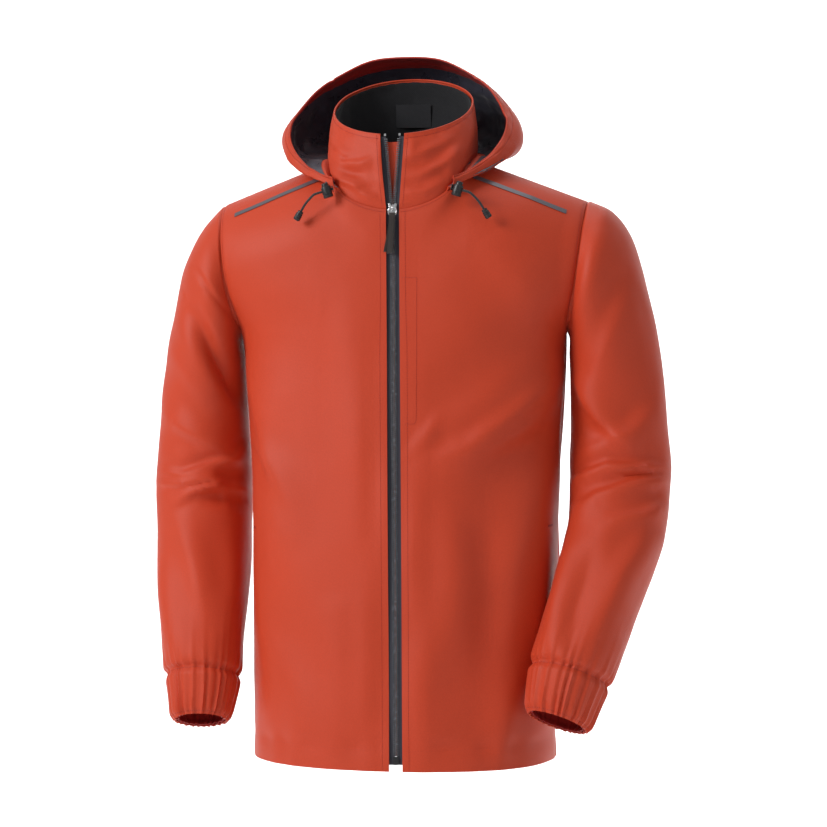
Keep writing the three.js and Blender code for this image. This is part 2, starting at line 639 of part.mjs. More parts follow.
function roundedRectangle(width, height, corner) {
  const shape = new THREE.Shape();
  const x = width / 2;
  const y = height / 2;
  shape.moveTo(-x + corner, -y);
  shape.lineTo(x - corner, -y).absarc(x - corner, -y + corner, corner, -PI / 2, 0);
  shape.lineTo(x, y - corner).absarc(x - corner, y - corner, corner, 0, PI / 2);
  shape.lineTo(-x + corner, y).absarc(-x + corner, y - corner, corner, PI / 2, PI);
  shape.lineTo(-x, -y + corner).absarc(-x + corner, -y + corner, corner, PI, PI * 1.5);
  return shape;
}

// A plate cut from a shape drawn across (x) and up (y), its middle plane at y = at
function plate(shape, thick, at) {
  const geometry = new THREE.ExtrudeGeometry(shape, {
    depth: thick, bevelEnabled: false, curveSegments: 2,
  });
  geometry.translate(0, 0, -thick / 2);
  geometry.rotateX(PI / 2);
  geometry.translate(0, at, 0);
  return welded(geometry);
}

function polygon(points) {
  return new THREE.Shape(points.map(([x, y]) => new THREE.Vector2(x, y)));
}

// ---------- Main zip ----------

const zipPoint = (z) => new THREE.Vector3(zipX(z), -frontDepth(z) + ZIP_SINK, z);
const postZ = -FRONT_NECK_DROP - ZIP_OPEN_BELOW_NECK;
const zipPost = zipPoint(postZ);
const zipBottom = zipPoint(-BODY_LENGTH + ZIP_END_ABOVE_HEM);
const zipTop = zipPoint(collarRim(0).z - 2);
const zipDown = zipPost.distanceTo(zipBottom);
const zipUp = zipPost.distanceTo(zipTop);
const zip = new THREE.Group();
zip.position.copy(zipPost);
zip.quaternion.setFromUnitVectors(new THREE.Vector3(0, 0, 1),
  zipTop.clone().sub(zipBottom).normalize());

const CHAIN_INNER = CHAIN_GAP / 2;
const CHAIN_OUTER = CHAIN_INNER + CHAIN_HALF;
const TAPE_INNER = CHAIN_OUTER + 0.4;
const chainBottom = -zipDown + RETAINER.height + SEAM_GAP;

// A strip that runs straight up to the slider's post and leans away from the middle above it
function zipStrip(left, inner, outer, topOuter, bottom, top) {
  const lean = ZIP_V_HALF * (top / zipUp);
  return polygon([[inner, bottom], [outer, bottom], [outer, 0], [topOuter + lean, top],
    [inner + lean, top], [inner, 0]].map(([x, y]) => [x * left, y]));
}

function addZipHalf(side, left) {
  const chain = zipStrip(left, CHAIN_INNER, CHAIN_OUTER, CHAIN_OUTER, chainBottom, zipUp);
  add(`zip_chain_${side}`, facingOut(plate(chain, CHAIN_THICK, 0)), toothPlastic(), zip);
  const outer = ZIP_VISIBLE / 2 + TAPE_TUCK;
  const tape = zipStrip(left, TAPE_INNER, outer, outer - COLLAR_TAPE_TRIM, -zipDown, zipUp);
  add(`zip_tape_${side}`, facingOut(plate(tape, TAPE_THICK, 0)), tapeCloth(), zip);
  const stop = roundedRectangle(CHAIN_HALF, TOP_STOP_HEIGHT, 0.6);
  const geometry = plate(stop, CHAIN_THICK, 0);
  const middle = (CHAIN_INNER + CHAIN_OUTER) / 2 + ZIP_V_HALF;
  geometry.translate(middle * left, 0, zipUp + TOP_STOP_HEIGHT / 2 + SEAM_GAP);
  add(`zip_top_stop_${side}`, geometry, silverMetal(), zip);
}

function addZipBottom() {
  const middle = -zipDown + RETAINER.height / 2;
  const box = plate(roundedRectangle(RETAINER.width, RETAINER.height, 1.5), RETAINER.thick, 0);
  box.translate(0, 0, middle);
  const slotWidth = CHAIN_HALF + 2 * PIN_CLEAR;
  const slot = new THREE.BoxGeometry(slotWidth, PIN_THICK + 2 * PIN_CLEAR, RETAINER.height);
  const pinX = -(CHAIN_INNER + CHAIN_OUTER) / 2;
  slot.translate(pinX, 0, middle + RETAINER_FLOOR);
  add('zip_retainer_box', fromSolid(toSolid(box).subtract(toSolid(slot))), blackPlastic(), zip);
  const pinLength = RETAINER.height - RETAINER_FLOOR - 2 * PIN_CLEAR;
  const pin = plate(roundedRectangle(CHAIN_HALF, pinLength, 0.6), PIN_THICK, 0);
  pin.translate(pinX, 0, chainBottom - SEAM_GAP - pinLength / 2);
  add('zip_insertion_pin', pin, silverMetal(), zip);
}

function addStormFlap() {
  const height = zipDown + zipUp - FLAP.bottom - FLAP.top;
  const flap = plate(roundedRectangle(FLAP.half * 2, height, 4), SHELL, FLAP.behind);
  flap.translate(0, 0, -zipDown + FLAP.bottom + height / 2);
  add('storm_flap', flap, shellCloth(), zip);
}

// A piece cut from a shape drawn up (x) and out to the front (y), of this width across
function crosswise(shape, width) {
  const geometry = new THREE.ExtrudeGeometry(shape, {
    depth: width, bevelEnabled: false, curveSegments: 6,
  });
  geometry.translate(0, 0, -width / 2);
  geometry.applyMatrix4(new THREE.Matrix4().makeBasis(new THREE.Vector3(0, 0, 1),
    new THREE.Vector3(0, -1, 0), new THREE.Vector3(1, 0, 0)));
  return welded(geometry);
}

const SLIDER_FACE = SLIDER.gap / 2 + SLIDER.plate; // front face of the slider, out from the zip's middle
const HINGE_OUT = SLIDER_FACE + BAIL.hole + BAIL.off; // puller's hinge line

function addSlider() {
  const { length, topWidth, bottomWidth, plate: thick, gap, post } = SLIDER;
  const top = SLIDER_ABOVE_POST;
  const shoulder = top - length * 0.45;
  const outline = polygon([[-bottomWidth / 2, top - length], [bottomWidth / 2, top - length],
    [topWidth / 2, shoulder], [topWidth / 2, top - 1], [topWidth / 4, top],
    [-topWidth / 4, top], [-topWidth / 2, top - 1], [-topWidth / 2, shoulder]]);
  const middle = (gap + thick) / 2;
  const postBox = new THREE.BoxGeometry(post, gap + thick, 2 * top - 1);
  const bail = new THREE.Shape();
  bail.moveTo(BAIL.radius, HINGE_OUT).absarc(0, HINGE_OUT, BAIL.radius, 0, PI);
  bail.lineTo(-BAIL.radius, middle).lineTo(BAIL.radius, middle);
  bail.holes.push(new THREE.Path().absarc(0, HINGE_OUT, BAIL.hole, 0, 2 * PI));
  const solid = toSolid(plate(outline, thick, -middle)).add(toSolid(plate(outline, thick, middle)))
    .add(toSolid(postBox)).add(toSolid(crosswise(bail, BAIL.width).translate(0, 0, HINGE_UP)));
  add('zip_slider', fromSolid(solid), silverMetal(), zip);
}

// A flat link of square wire hangs in the slider's bail, and a folded strap hangs in the link.
function addPuller() {
  const { width, height, wire } = PULLER_LINK;
  const outline = roundedRectangle(width, height, wire);
  outline.holes.push(roundedRectangle(width - 2 * wire, height - 2 * wire, wire / 2));
  const link = plate(outline, wire, -HINGE_OUT);
  link.translate(0, 0, HINGE_UP - (height - wire) / 2);
  add('zip_puller_link', link, silverMetal(), zip);
  const eye = wire * 0.71 + PULLER.eyeClear; // the wire's half diagonal and some room
  const head = eye + PULLER.fold;
  const half = PULLER.thick / 2;
  const start = Math.asin(half / head);
  const strap = new THREE.Shape();
  strap.absarc(0, 0, head, -PI + start, PI - start);
  strap.lineTo(-PULLER.length, half).lineTo(-PULLER.length, -half);
  strap.holes.push(new THREE.Path().absarc(0, 0, eye, 0, 2 * PI));
  const tape = crosswise(strap, PULLER.width);
  tape.translate(0, -HINGE_OUT, HINGE_UP - (height - wire));
  add('zip_puller_tape', facingOut(tape), material('#332a27', 0.85), zip);
}

// ---------- Pockets ----------

// A patch of cloth on the inside of a front: across from x0 to x1, up from low to high
function frontPatch(left, x0, x1, low, high, sunk, thick, nu, nv) {
  const surface = (u, v) => {
    const x = lerp(x0, x1, u);
    const z = lerp(low, high, v);
    return new THREE.Vector3(left * x + zipX(z), bodyY(x, z, FRONT), z);
  };
  return clothSheet(surface, { us: steps(0, 1, nu), vs: steps(0, 1, nv), outer: sunk,
    inner: sunk + thick, side: left });
}

const INSIDE = LINING_FACES.inner + POCKET_GAP; // depth of what lies inside the lining
const innerZipLow = -INNER_POCKET.top - INNER_POCKET.zip;

function addPockets() {
  for (const [side, left] of [['left', 1], ['right', -1]]) {
    const bag = frontPatch(left, HAND_POCKET.from, HAND_POCKET.to, -HAND_POCKET.top - HAND_POCKET.height,
      -HAND_POCKET.top, INSIDE, POCKET_BAG, 5, 5);
    add(`hand_pocket_bag_${side}`, bag, insideShellCloth());
  }
  const { zipX0, zipWidth, bagWidth, top } = INNER_POCKET;
  const zipX1 = zipX0 + zipWidth;
  add('inner_pocket_zip', frontPatch(1, zipX0, zipX1, innerZipLow, -top, INSIDE, POCKET_BAG, 2, 5),
    tapeCloth());
  add('inner_pocket_bag', frontPatch(1, zipX1 + POCKET_GAP, zipX1 + POCKET_GAP + bagWidth,
    innerZipLow, -top, INSIDE, POCKET_BAG, 4, 5), insideShellCloth());
}

const innerSliderX = INNER_POCKET.zipX0 + INNER_POCKET.zipWidth / 2;

function innerZipPoint(z) {
  const y = bodyY(innerSliderX, z, FRONT) + INSIDE + POCKET_BAG + INNER_SLIDER.thick / 2 + 2 * POCKET_GAP;
  return new THREE.Vector3(innerSliderX + zipX(z), y, z);
}

function addInnerSlider() {
  const { width, length, thick } = INNER_SLIDER;
  const slider = new THREE.Mesh(plate(roundedRectangle(width, length, 1.5), thick, 0), silverMetal());
  slider.geometry.computeVertexNormals();
  slider.name = 'inner_pocket_slider';
  slider.position.copy(innerZipPoint(-INNER_POCKET.top - length));
  jacket.add(slider);
}

// ---------- Hood drawcord, locks and ends ----------

class SpringCurve extends THREE.Curve {
  getPoint(t, target = new THREE.Vector3()) {
    const turn = t * SPRING.turns * 2 * PI;
    return target.set(SPRING.radius * cos(turn), SPRING.radius * sin(turn), t * SPRING.height);
  }
}

function circleShape(radius, sides) {
  const shape = new THREE.Shape();
  for (let i = 0; i < sides; i++) {
    const a = (i / sides) * 2 * PI;
    if (i === 0) shape.moveTo(radius, 0);
    else shape.lineTo(radius * cos(a), radius * sin(a));
  }
  shape.closePath();
  return shape;
}

function tube(path, radius, steps, sides = 8) {
  const geometry = new THREE.ExtrudeGeometry(circleShape(radius, sides),
    { steps, extrudePath: path, bevelEnabled: false });
  return facingOut(welded(geometry));
}

function lathed(points, sides) {
  const profile = points.map(([r, z]) => new THREE.Vector2(r, z));
  const geometry = new THREE.LatheGeometry(profile, sides);
  geometry.rotateX(PI / 2);
  return facingOut(welded(geometry));
}

// A straight round bar through the lock along X, used to bore the cord's hole
function crossBar(radius, z) {
  const bar = new THREE.CylinderGeometry(radius, radius, 4 * LOCK.radius, 10);
  bar.rotateZ(PI / 2);
  bar.translate(0, 0, z);
  return toSolid(bar);
}

function lockBarrel() {
  const { radius, height, wall, floor } = LOCK;
  const cup = lathed([[0, 0], [radius - 0.8, 0], [radius, 0.8], [radius, height], [radius - wall, height],
    [radius - wall, floor], [0, floor]], 12);
  return fromSolid(toSolid(cup).subtract(crossBar(CORD_BORE, LOCK.cord)));
}

function lockButton() {
  const top = LOCK.height + BUTTON.rise;
  const bottom = LOCK.cord - CORD_BORE - BUTTON.foot;
  const stem = lathed([[0, bottom], [BUTTON.radius, bottom], [BUTTON.radius, top - 1],
    [BUTTON.radius - 1, top], [0, top]], 12);
  const slot = new THREE.BoxGeometry(4 * LOCK.radius, 2 * CORD_BORE, BUTTON.travel);
  slot.translate(0, 0, LOCK.cord + BUTTON.travel / 2);
  return fromSolid(toSolid(stem).subtract(crossBar(CORD_BORE, LOCK.cord))
    .subtract(crossBar(CORD_BORE, LOCK.cord + BUTTON.travel)).subtract(toSolid(welded(slot))));
}

// The cord leaves its eyelet straight, through the lock, then droops to its end.
function cordRoute(left) {
  const start = atCorner(CORD_START.out, CORD_START.up);
  const begin = new THREE.Vector3(start[0], start[1], start[2]);
  const along = new THREE.Vector3(0.93, -0.2, -0.3).normalize();
  const points = [0, 6, 12, 18, 24].map((d) => begin.clone().addScaledVector(along, d));
  const last = points.at(-1);
  for (const [x, y, z] of CORD_DROOP) points.push(last.clone().add(new THREE.Vector3(x, y, z)));
  for (const p of points) p.x *= left;
  return { points, along: new THREE.Vector3(along.x * left, along.y, along.z) };
}

function addDrawcord(side, left) {
  const { points, along } = cordRoute(left);
  const cord = new THREE.CatmullRomCurve3(points);
  add(`drawcord_tail_${side}`, tube(cord, CORD_DIAMETER / 2, 9), blackPlastic(), hood);

  const eyelet = lathed([[CORD_BORE, 0], [EYELET.radius, 0], [EYELET.radius, EYELET.thick],
    [CORD_BORE, EYELET.thick], [CORD_BORE, 0]], 12);
  const alongCord = new THREE.Quaternion().setFromUnitVectors(new THREE.Vector3(0, 0, 1), along);
  const ring = add(`hood_eyelet_${side}`, eyelet, material('#2a2a2c', 0.4, 0.5), hood);
  ring.position.copy(points[0]).addScaledVector(along, EYELET.from);
  ring.quaternion.copy(alongCord);

  const lock = new THREE.Group();
  const across = along;
  const up = new THREE.Vector3(0, 0, 1).addScaledVector(across, -across.z).normalize();
  const depth = up.clone().cross(across);
  lock.quaternion.setFromRotationMatrix(new THREE.Matrix4().makeBasis(across, depth, up));
  lock.position.copy(points[0]).addScaledVector(across, LOCK.from + LOCK.radius)
    .addScaledVector(up, -LOCK.cord);
  hood.add(lock);
  add(`cord_lock_barrel_${side}`, lockBarrel(), blackPlastic(), lock);
  add(`cord_lock_button_${side}`, lockButton(), blackPlastic(), lock);
  const spring = add(`cord_lock_spring_${side}`,
    tube(new SpringCurve(), SPRING.wire, 16, 4), silverMetal(), lock);
  spring.position.z = LOCK.floor + SPRING.wire + 0.3;

  const finish = cord.getPoint(1);
  const heading = cord.getTangent(1);
  const end = add(`drawcord_end_${side}`, lathed([[0, 0], [CORD_END.radius - 1.5, 0],
    [CORD_END.radius, 1.5], [CORD_END.radius, CORD_END.length - 3],
    [CORD_END.radius - 2.5, CORD_END.length], [0, CORD_END.length]], 10), blackPlastic(), hood);
  end.position.copy(finish).addScaledVector(heading, 0.4);
  end.quaternion.setFromUnitVectors(new THREE.Vector3(0, 0, 1), heading);
}

// ---------- Assembly ----------

jacket.add(zip, hood);
for (const [side, left] of [['left', 1], ['right', -1]]) {
  addFront(side, left);
  addReflectiveStrip(side, left);
  addSleeve(side, left, left > 0 ? SLEEVE_LEFT : SLEEVE_RIGHT);
  addZipHalf(side, left);
  addDrawcord(side, left);
}
addBack();
addHem();
addCollar();
addNeckLabel();
addHangLoop();
addHood();
addZipBottom();
addStormFlap();
addSlider();
addPuller();
addPockets();
addInnerSlider();

// The origin is the underside of the hang loop, where a hook bears.
jacket.position.set(0, -loopApex.y, -loopApex.z);

export default jacket;
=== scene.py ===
"""A hooded foul-weather jacket in the shape it takes when worn, hung on its own loop in a pale studio."""

import math

import bpy
import numpy as np
from mathutils import Matrix, Vector


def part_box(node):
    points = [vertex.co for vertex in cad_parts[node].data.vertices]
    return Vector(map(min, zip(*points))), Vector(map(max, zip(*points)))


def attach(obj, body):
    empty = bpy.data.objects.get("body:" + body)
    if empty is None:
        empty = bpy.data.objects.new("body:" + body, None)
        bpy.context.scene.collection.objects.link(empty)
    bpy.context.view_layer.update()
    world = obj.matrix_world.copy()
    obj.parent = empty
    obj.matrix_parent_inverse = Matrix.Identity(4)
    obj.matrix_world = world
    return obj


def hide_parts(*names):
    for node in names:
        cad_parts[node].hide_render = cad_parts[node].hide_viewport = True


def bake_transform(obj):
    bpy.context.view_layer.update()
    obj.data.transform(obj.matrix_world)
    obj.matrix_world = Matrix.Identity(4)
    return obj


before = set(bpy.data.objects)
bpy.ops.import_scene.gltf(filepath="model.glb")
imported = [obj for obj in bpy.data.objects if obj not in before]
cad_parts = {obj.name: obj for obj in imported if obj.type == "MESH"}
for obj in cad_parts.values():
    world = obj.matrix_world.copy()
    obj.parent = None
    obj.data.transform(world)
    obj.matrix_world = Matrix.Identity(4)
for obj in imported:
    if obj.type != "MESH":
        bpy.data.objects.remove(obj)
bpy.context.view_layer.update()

# ---------------------------------------------------------------------------------------------
# Studio. The jacket hangs free in front of a pale sweep of card, under large soft lamps. The
# camera stands a little to the wearer's left, level with the middle of the jacket.
# ---------------------------------------------------------------------------------------------
aim = Vector((0.0105, -0.0773, -0.353))
camera_turn = math.radians(8)
bpy.ops.object.camera_add(
    location=aim + 3 * Vector((math.sin(camera_turn), -math.cos(camera_turn), 0)),
    rotation=(math.pi / 2, 0, camera_turn),
)
camera = bpy.context.object
camera.name = "studio_camera"
camera.data.lens = 102
bpy.context.scene.camera = camera
bpy.context.scene.view_settings.view_transform = "Standard"


def soft_lamp(name, place, towards, size, power):
    heading = (Vector(towards) - Vector(place)).to_track_quat("-Z", "Y")
    bpy.ops.object.light_add(type="AREA", location=place, rotation=heading.to_euler())
    lamp = bpy.context.object
    lamp.name = name
    lamp.data.size = size
    lamp.data.energy = power


soft_lamp("key_lamp", (-2.1, -2.0, 1.0), (0, 0, -0.35), 1.1, 61)
soft_lamp("fill_lamp", (2.6, -2.0, 0.2), (0, 0, -0.4), 2.2, 5)
soft_lamp("top_lamp", (0, 0.3, 2.2), (0, 0, 0), 1.6, 16)
soft_lamp("card_lamp", (0, 1.6, 1.8), (0, 4.2, -0.6), 3.0, 180)

world = bpy.data.worlds.new("studio_air")
world.use_nodes = True
world.node_tree.nodes["Background"].inputs["Color"].default_value = (1, 1, 1, 1)
world.node_tree.nodes["Background"].inputs["Strength"].default_value = 0.36
bpy.context.scene.world = world

bpy.ops.mesh.primitive_plane_add(size=14, location=(0, -2.6, -1.25))
sweep = bpy.context.object
sweep.name = "studio_sweep"
bpy.ops.object.mode_set(mode="EDIT")
bpy.ops.mesh.select_all(action="DESELECT")
bpy.ops.object.mode_set(mode="OBJECT")
for edge in sweep.data.edges:
    ends = [sweep.data.vertices[i].co.y for i in edge.vertices]
    edge.select = min(ends) > 6
bpy.ops.object.mode_set(mode="EDIT")
bpy.ops.mesh.select_mode(type="EDGE")
bpy.ops.mesh.extrude_region_move(TRANSFORM_OT_translate={"value": (0, 0, 6)})
bpy.ops.object.mode_set(mode="OBJECT")
rounding = sweep.modifiers.new("rounding", "BEVEL")
rounding.width = 1.6
rounding.segments = 12
bpy.ops.object.modifier_apply(modifier=rounding.name)
bpy.ops.object.shade_smooth()
bpy.ops.object.transform_apply(location=True, rotation=False, scale=False)
card = bpy.data.materials.new("pale_card")
card.use_nodes = True
card.node_tree.nodes["Principled BSDF"].inputs["Base Color"].default_value = (0.93, 0.93, 0.93, 1)
card.node_tree.nodes["Principled BSDF"].inputs["Roughness"].default_value = 0.9
card.node_tree.nodes["Principled BSDF"].inputs["Specular IOR Level"].default_value = 0.1
sweep.data.materials.append(card)


# ---------------------------------------------------------------------------------------------
# Hood drawcord tails. Round black braided cord, 3 mm thick, comes out of an eyelet at each front
# corner of the hood, runs through a toggle and hangs a few centimetres to a moulded end.
# ---------------------------------------------------------------------------------------------
class Level:
    """A value that varies over a surface: arithmetic on it adds Math nodes."""

    def __init__(self, finish, socket):
        self.finish = finish
        self.socket = socket

    def maths(self, operation, *values):
        return self.finish.node("ShaderNodeMath", {"operation": operation}, values)

    def __add__(self, other):
        return self.maths("ADD", self, other)

    def __sub__(self, other):
        return self.maths("SUBTRACT", self, other)

    def __rsub__(self, other):
        return self.maths("SUBTRACT", other, self)

    def __mul__(self, other):
        return self.maths("MULTIPLY", self, other)

    __radd__ = __add__
    __rmul__ = __mul__


class Finish:
    """The finish of a piece: a Principled shader and the nodes that vary it."""

    def __init__(self, name, colour, roughness, **settings):
        self.material = bpy.data.materials.new(name)
        self.material.use_nodes = True
        self.tree = self.material.node_tree
        self.shader = self.tree.nodes["Principled BSDF"]
        self.shader.inputs["Base Color"].default_value = (*colour, 1)
        self.shader.inputs["Roughness"].default_value = roughness
        for socket, value in settings.items():
            self.shader.inputs[socket.replace("_", " ")].default_value = value

    def node(self, kind, settings, values, out=0):
        node = self.tree.nodes.new(kind)
        for name, value in settings.items():
            setattr(node, name, value)
        for key, value in values.items() if isinstance(values, dict) else enumerate(values):
            if isinstance(value, Level):
                self.tree.links.new(value.socket, node.inputs[key])
            else:
                node.inputs[key].default_value = value
        return Level(self, node.outputs[out])

    def place(self):
        """Where a point of the piece is, in metres"""
        return self.node("ShaderNodeTexCoord", {}, (), out="Object")

    def cut(self):
        """Where a point lies on the flat cloth, in metres along and across the grain"""
        return self.node("ShaderNodeUVMap", {"uv_map": "cut"}, ())

    def noise(self, where, size, detail=3.0):
        """Soft patches about this size in metres, around 0.5"""
        values = {"Vector": where, "Scale": 1 / size, "Detail": detail}
        return self.node("ShaderNodeTexNoise", {}, values)

    def threads(self, where, pitch, direction):
        """Rows of thread this far apart, from 0 between them to 1 on them"""
        settings = {"wave_type": "BANDS", "bands_direction": direction, "wave_profile": "SIN"}
        values = {"Vector": where, "Scale": 0.314 / pitch, "Distortion": 0.0, "Detail": 0.0}
        return self.node("ShaderNodeTexWave", settings, values, out="Fac")

    def blend(self, share, first, second):
        """From the first colour to the second"""
        return self.node("ShaderNodeMix", {"data_type": "RGBA"}, {0: share, 6: first, 7: second}, out=2)

    def raised(self, height, depth):
        """The surface stands up by the height, times the depth in metres"""
        bump = self.node("ShaderNodeBump", {}, {"Strength": 1.0, "Distance": depth, "Height": height})
        self.tree.links.new(bump.socket, self.shader.inputs["Normal"])

    def feed(self, **sockets):
        for socket, level in sockets.items():
            self.tree.links.new(level.socket, self.shader.inputs[socket.replace("_", " ")])


def shade(colour, times):
    return (*(min(1, c * times) for c in colour), 1)


def curve_mesh(name, rows, look, closed_rows=True):
    """A mesh over rows of points in metres; each row goes round when closed."""
    count, around = rows.shape[:2]
    joined = around if closed_rows else around - 1
    faces = []
    for i in range(count - 1):
        for j in range(joined):
            k = (j + 1) % around
            faces.append((i * around + j, i * around + k, (i + 1) * around + k, (i + 1) * around + j))
    mesh = bpy.data.meshes.new(name)
    mesh.from_pydata(rows.reshape(-1, 3).tolist(), [], faces)
    # the cloth lies flat in this map, in metres
    across = np.linalg.norm(np.diff(rows, axis=1, append=rows[:, :1]), axis=2).mean(axis=0)
    along = np.linalg.norm(np.diff(rows, axis=0), axis=2).mean(axis=1)
    u = np.concatenate([[0], np.cumsum(across)])
    v = np.concatenate([[0], np.cumsum(along)])
    uv = mesh.uv_layers.new(name="cut")
    corners = []
    for i in range(count - 1):
        for j in range(joined):
            corners += [u[j], v[i], u[j + 1], v[i], u[j + 1], v[i + 1], u[j], v[i + 1]]
    uv.data.foreach_set("uv", corners)
    mesh.polygons.foreach_set("use_smooth", [True] * len(mesh.polygons))
    mesh.update()
    mesh.materials.append(look.material)
    piece = bpy.data.objects.new(name, mesh)
    bpy.context.collection.objects.link(piece)
    return piece


def pick(piece):
    bpy.ops.object.select_all(action="DESELECT")
    piece.select_set(True)
    bpy.context.view_layer.objects.active = piece


def outward(piece):
    pick(piece)
    bpy.ops.object.mode_set(mode="EDIT")
    bpy.ops.mesh.select_all(action="SELECT")
    bpy.ops.mesh.normals_make_consistent(inside=False)
    bpy.ops.object.mode_set(mode="OBJECT")


def round_tube(name, path, radius, look, around=12):
    """A closed tube along a path of points in metres, with rounded ends"""
    path = np.asarray(path, float)
    heading = np.gradient(path, axis=0)
    heading /= np.linalg.norm(heading, axis=1, keepdims=True)
    side = np.cross(heading, [0.13, 0.31, 0.94])
    side /= np.linalg.norm(side, axis=1, keepdims=True)
    other = np.cross(heading, side)
    angles = np.arange(around) / around * 2 * math.pi
    rows = [path[i] + radius * (np.cos(angles)[:, None] * side[i] + np.sin(angles)[:, None] * other[i])
            for i in range(len(path))]
    rows = [np.repeat(path[:1], around, axis=0), *rows, np.repeat(path[-1:], around, axis=0)]
    piece = curve_mesh(name, np.array(rows), look)
    pick(piece)
    bpy.ops.object.mode_set(mode="EDIT")
    bpy.ops.mesh.select_all(action="SELECT")
    bpy.ops.mesh.remove_doubles(threshold=1e-6)
    bpy.ops.object.mode_set(mode="OBJECT")
    outward(piece)
    return piece


def smooth_path(points, count):
    """A curve through the points, at even steps of its own length"""
    points = np.asarray(points, float)
    step = np.concatenate([[0], np.cumsum(np.linalg.norm(np.diff(points, axis=0), axis=1))])
    slope = np.gradient(points, step, axis=0)
    fine = np.linspace(0, step[-1], 400)
    k = np.clip(np.searchsorted(step, fine, side="right") - 1, 0, len(points) - 2)
    span = (step[k + 1] - step[k])[:, None]
    t = ((fine - step[k]) / (step[k + 1] - step[k]))[:, None]
    curve = ((2 * t**3 - 3 * t**2 + 1) * points[k] + (t**3 - 2 * t**2 + t) * span * slope[k]
             + (3 * t**2 - 2 * t**3) * points[k + 1] + (t**3 - t**2) * span * slope[k + 1])
    length = np.concatenate([[0], np.cumsum(np.linalg.norm(np.diff(curve, axis=0), axis=1))])
    even = np.linspace(0, length[-1], count)
    return np.stack([np.interp(even, length, curve[:, a]) for a in range(3)], axis=1), length[-1]


braid = Finish("black_braid", (0.012, 0.012, 0.013), 0.62, Sheen_Weight=0.25, Sheen_Roughness=0.5)
grain = braid.cut()
strands = braid.threads(grain, 0.0011, "DIAGONAL") * braid.threads(grain, 0.0014, "Y")
braid.feed(Base_Color=braid.blend(strands, (0.006, 0.006, 0.007, 1), (0.03, 0.03, 0.033, 1)))
braid.raised(strands, 0.00035)

def fitted(piece, slot, on, *nodes, grid=None):
    """The piece stands in for its plain nodes, on one body, or, given (from, to, start, end) for a joint,
    with its place baked into its mesh and on no body
    """
    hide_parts(*nodes)
    if isinstance(on, tuple):
        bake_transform(piece)
    else:
        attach(piece, on)


cord_leave = np.array([0.07364, -0.19164, -0.07462])  # the eyelet at the wearer's left
cord_run = np.array([0.93238, -0.20051, -0.30077])
cord_tails = {}
for side, left in (("left", 1), ("right", -1)):
    mirror = np.array([left, 1, 1])
    straight = [cord_leave + cord_run * d for d in (0, 0.006, 0.012, 0.018, 0.024)]
    droop = [straight[-1] + np.array(d) for d in ((0.007, 0.001, -0.006), (0.013, 0.002, -0.013),
                                                 (0.018, 0.003, -0.021))]
    route, length = smooth_path(np.array(straight + droop) * mirror, 34)
    tail = round_tube(f"drawcord_{side}", route, 0.0015, braid, around=14)
    fitted(tail, "cord", "jacket", f"drawcord_tail_{side}")
    cord_tails[side] = (tail, route, length)

# ---------------------------------------------------------------------------------------------
# Body of the shell: two fronts and a back in one layer of coated woven cloth, sewn at the
# shoulders and sides, with the hem turned up into a channel for its elastic.
# ---------------------------------------------------------------------------------------------
loop_apex = np.array([0, 77.341, 8])  # underside of the hang loop from the back neck seam, in mm
body_length = 780
armpit_drop = 240
chest_half, waist_half, hem_half = 206, 196, 193
neck_half, neck_side_drop, front_neck_drop = 90, 20, 93
tip_half, tip_drop = 234, 75
ridge_y = 5
section_power = 2.3
zip_visible = 16.5


def smoothstep(value, low, high):
    t = np.clip((value - low) / (high - low), 0, 1)
    return t * t * (3 - 2 * t)


def armhole_share(z):
    return np.clip((z + armpit_drop) / (armpit_drop - tip_drop), 0, 1)


def armhole_x(z):
    return chest_half + (tip_half - chest_half) * armhole_share(z) ** 0.6


def half_width(z):
    upper = armhole_x(z) + 60 * np.sin(armhole_share(z) * math.pi / 2) ** 0.85
    waist = -(armpit_drop + body_length) / 2
    low = hem_half + (waist_half - hem_half) * smoothstep(z, -body_length, waist)
    high = waist_half + (chest_half - waist_half) * smoothstep(z, waist, -armpit_drop)
    return np.where(z > -armpit_drop, upper, np.where(z < waist, low, high))


def front_depth(z):
    return 112 + 0.068 * (-front_neck_drop - z)


def back_depth(z):
    waist = -(armpit_drop + body_length) / 2
    return (112 - 2 * smoothstep(z, -body_length, waist)
            + 16 * smoothstep(z, waist, -armpit_drop * 0.6))


def shoulder_z(x):
    off = np.abs(x)
    slope = (tip_drop - neck_side_drop) / (tip_half - neck_half)
    inside = -neck_side_drop + 35 * np.sqrt(np.clip(1 - (off / neck_half) ** 2, 0, 1))
    return np.where(off < neck_half, inside, -neck_side_drop - (off - neck_half) * slope)


def body_y(x, z, front):
    share = np.minimum(1, np.abs(x) / half_width(z))
    full = np.where(front < 0, -front_depth(z), back_depth(z))
    full = full * (1 - share**section_power) ** (1 / section_power)
    radius = np.where(front < 0, 108, 54 + 46 * np.clip(np.abs(x) / neck_half, 0, 1))
    drop = np.clip((shoulder_z(x) - z) / radius, 0, 1)
    return front * 0.25 + ridge_y + (full - ridge_y) * np.sqrt(np.clip(1 - (1 - drop) ** 2, 0, 1))


def zip_x(z):
    return -0.016 * (z + front_neck_drop)


def body_point(u, z, left, front, edge):
    def on_section(x):
        return np.arcsin(np.minimum(1, x / half_width(z)) ** (section_power / 2))

    widest = np.where(z > -armpit_drop, on_section(armhole_x(z)), math.pi / 2)
    angle = on_section(edge) * (1 - u) + widest * u
    x = half_width(z) * np.sin(angle) ** (2 / section_power)
    sway = zip_x(z) * np.cos(angle) ** 2 if front < 0 else 0
    return np.stack([x * left + sway, body_y(x, z, front), z], axis=-1)


